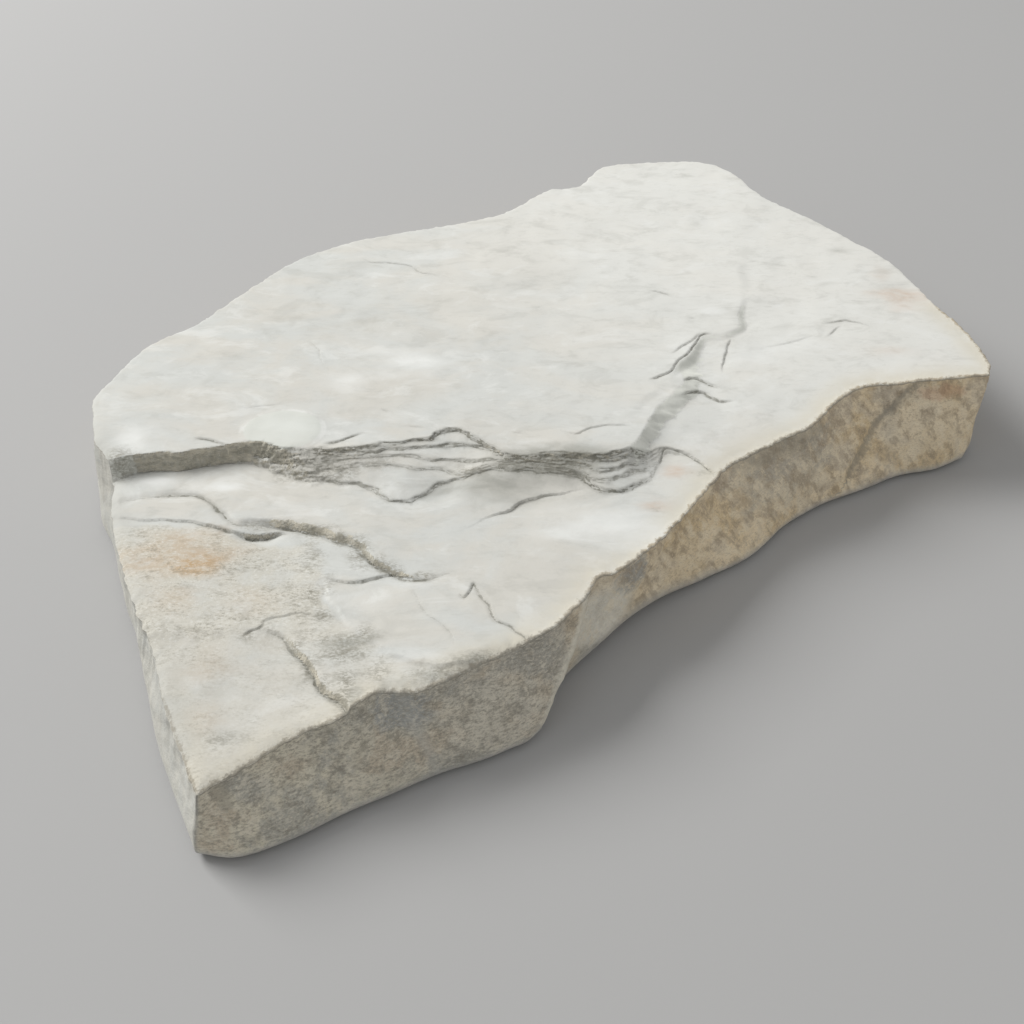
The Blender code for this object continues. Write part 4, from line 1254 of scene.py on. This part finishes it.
def spotted(colour, spots):
    """The broken edge's colour with ovals of other colours, ragged at their edges."""
    for x, z, long, high, strength, paint in spots:
        far_x = sums("DIVIDE", sums("SUBTRACT", side["X"], x), long)
        far_z = sums("DIVIDE", sums("SUBTRACT", side["Z"], z), high)
        far = plus(times(far_x, far_x), times(far_z, far_z), spot_edge)
        colour = blend(times(ramp(far, 1.2, 0.3), on_long_wall, strength), colour, paint)
    return colour


# The scoop by the notch is painted paler: painted light on its shaded face.
broken = blend(times(in_scoop, 0.85), broken, NOTCH_PAINTED_LIGHT)
broken = spotted(broken, SPOTS_UNDER)
broken = blend(times(ramp(blotch, 0.51, 0.63, 0.0, 0.55), soft), broken, dark)
broken = blend(ramp(blotch, 0.47, 0.36, 0.0, 0.55), broken, pale)
broken = blend(times(ramp(streaks, 0.51, 0.63, 0.0, 0.65), soft), broken, dark)
broken = blend(ramp(streaks, 0.48, 0.37, 0.0, 0.55), broken, pale)
broken = blend(times(ramp(fine, 0.52, 0.64, 0.0, 0.45), soft), broken, dark)
broken = blend(ramp(grain, 0.52, 0.64, 0.0, 0.35), broken, pale)
broken = spotted(broken, SPOTS_OVER)

# The dark furrow, a painted highlight along the arris, the worn foot, the left end, and a
# darker line under the rim.
line_edge = ramp(speckle, 0.3, 0.7, -0.8, 0.8)
furrow = plus(unsigned(mask("furrow")), line_edge)
broken = blend(ramp(furrow, 0.3, 3.6, 0.62, 0.0), broken, WALL_DARK)
arris = plus(unsigned(mask("arris")), line_edge)
broken = blend(ramp(arris, 0.7, 3.6, 0.75, 0.0), broken, ARRIS_HIGHLIGHT)
broken = blend(times(mask("worn"), 0.75), broken, FOOT_GREY)
broken = blend(times(mask("pale"), ramp(mottle, 0.3, 0.6, 1.0, 0.8)), broken, SIDE_PALE)
broken = blend(ramp(mask("wall"), 0.60, 0.95, 0.70, 0.0), broken, WALL_DARK)

# Bed and broken edge meet along a ragged rim.
ragged_rim = plus(mask("wall"), noisy(in_mm, 2.2, 5.0, 0.7))
colour = blend(ramp(ragged_rim, 0.88, 1.12), bed, broken)
tree.links.new(colour, shader.inputs["Base Color"])
tree.links.new(ramp(grain, 0.3, 0.7, *ROUGHNESS), shader.inputs["Roughness"])
shader.inputs["Specular IOR Level"].default_value = SHEEN

# Grain too fine for points: deepest on the broken edge and least on the smooth beds.
coarse = times(mask("wall"), ramp(mask("pale"), 0.0, 1.0, 1.0, 0.3))
coarse = sums("MAXIMUM", coarse, times(mask("rough"), 0.25))
coarse = sums("MAXIMUM", coarse, times(mask("riser"), ramp(grit_and_shade, 0.0, 1.0, 0.7, 0.3)))
depth = ramp(coarse, 0.0, 1.0, 0.06, 0.75)
pits = plus(times(grain, 0.6), times(speckle, 0.5), times(streaks, mask("wall")),
            times(thin, times(mask("riser"), 0.8)))
bump = put("ShaderNodeBump", {"Height": times(pits, depth), "Distance": MM})
tree.links.new(bump.outputs["Normal"], shader.inputs["Normal"])

mesh.materials.append(stone)
slab = bpy.data.objects.new("siltstone_slab", mesh)
bpy.context.scene.collection.objects.link(slab)

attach(slab, "root")
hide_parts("slab")

# --- Floor -------------------------------------------------------------------------------------
# A plain floor of dull, pale grey board, in one flat sheet. The slab lies on it by its own
# weight.

FLOOR_SIZE = 6.0
FLOOR_GREY = (0.42, 0.42, 0.42)
FLOOR_ROUGHNESS = 0.9

bpy.ops.mesh.primitive_plane_add(size=FLOOR_SIZE, location=(0.0, 0.0, cad_low.z))
floor = bpy.context.object
floor.name = "floor"
floor_paint = bpy.data.materials.new("floor")
floor_paint.use_nodes = True
floor_shader = floor_paint.node_tree.nodes["Principled BSDF"]
floor_shader.inputs["Base Color"].default_value = (*FLOOR_GREY, 1.0)
floor_shader.inputs["Roughness"].default_value = FLOOR_ROUGHNESS
floor.data.materials.append(floor_paint)

# --- Light -------------------------------------------------------------------------------------
# One large soft lamp stands high behind the slab, on its left, and an even pale sky fills the
# shadows.

KEY_FROM = Vector((-0.30, 0.70, 0.62))
KEY_DISTANCE = 3.2
KEY_SIZE = 1.7
KEY_POWER = 104.0
KEY_TINT = (1.0, 0.99, 0.97)
SKY = (0.644, 0.642, 0.636)
SKY_STRENGTH = 0.75

key = bpy.data.objects.new("key", bpy.data.lights.new("key", "AREA"))
key.data.energy = KEY_POWER
key.data.size = KEY_SIZE
key.data.color = KEY_TINT
key.location = KEY_FROM.normalized() * KEY_DISTANCE
key.rotation_euler = KEY_FROM.to_track_quat("Z", "Y").to_euler()
bpy.context.scene.collection.objects.link(key)

world = bpy.data.worlds.new("sky")
world.use_nodes = True
background = world.node_tree.nodes["Background"]
background.inputs["Color"].default_value = (*SKY, 1.0)
background.inputs["Strength"].default_value = SKY_STRENGTH
bpy.context.scene.world = world
bpy.context.scene.view_settings.view_transform = "Standard"

# --- Camera ------------------------------------------------------------------------------------
# A camera with a normal lens, close to the slab, which looks down on it from the front left.

VIEW_AT = Vector((-0.0491, -0.0773, 0.050))
VIEW_DISTANCE = 0.600
VIEW_AZIMUTH = math.radians(-35.5)
VIEW_ELEVATION = math.radians(42.0)
LENS = 50.0
SENSOR_WIDTH = 36.0

back = Vector((math.sin(VIEW_AZIMUTH) * math.cos(VIEW_ELEVATION),
               -math.cos(VIEW_AZIMUTH) * math.cos(VIEW_ELEVATION),
               math.sin(VIEW_ELEVATION)))
camera = bpy.data.objects.new("camera", bpy.data.cameras.new("camera"))
camera.data.lens = LENS
camera.data.sensor_width = SENSOR_WIDTH
camera.location = VIEW_AT + back * VIEW_DISTANCE
camera.rotation_euler = back.to_track_quat("Z", "Y").to_euler()
bpy.context.scene.collection.objects.link(camera)
bpy.context.scene.camera = camera
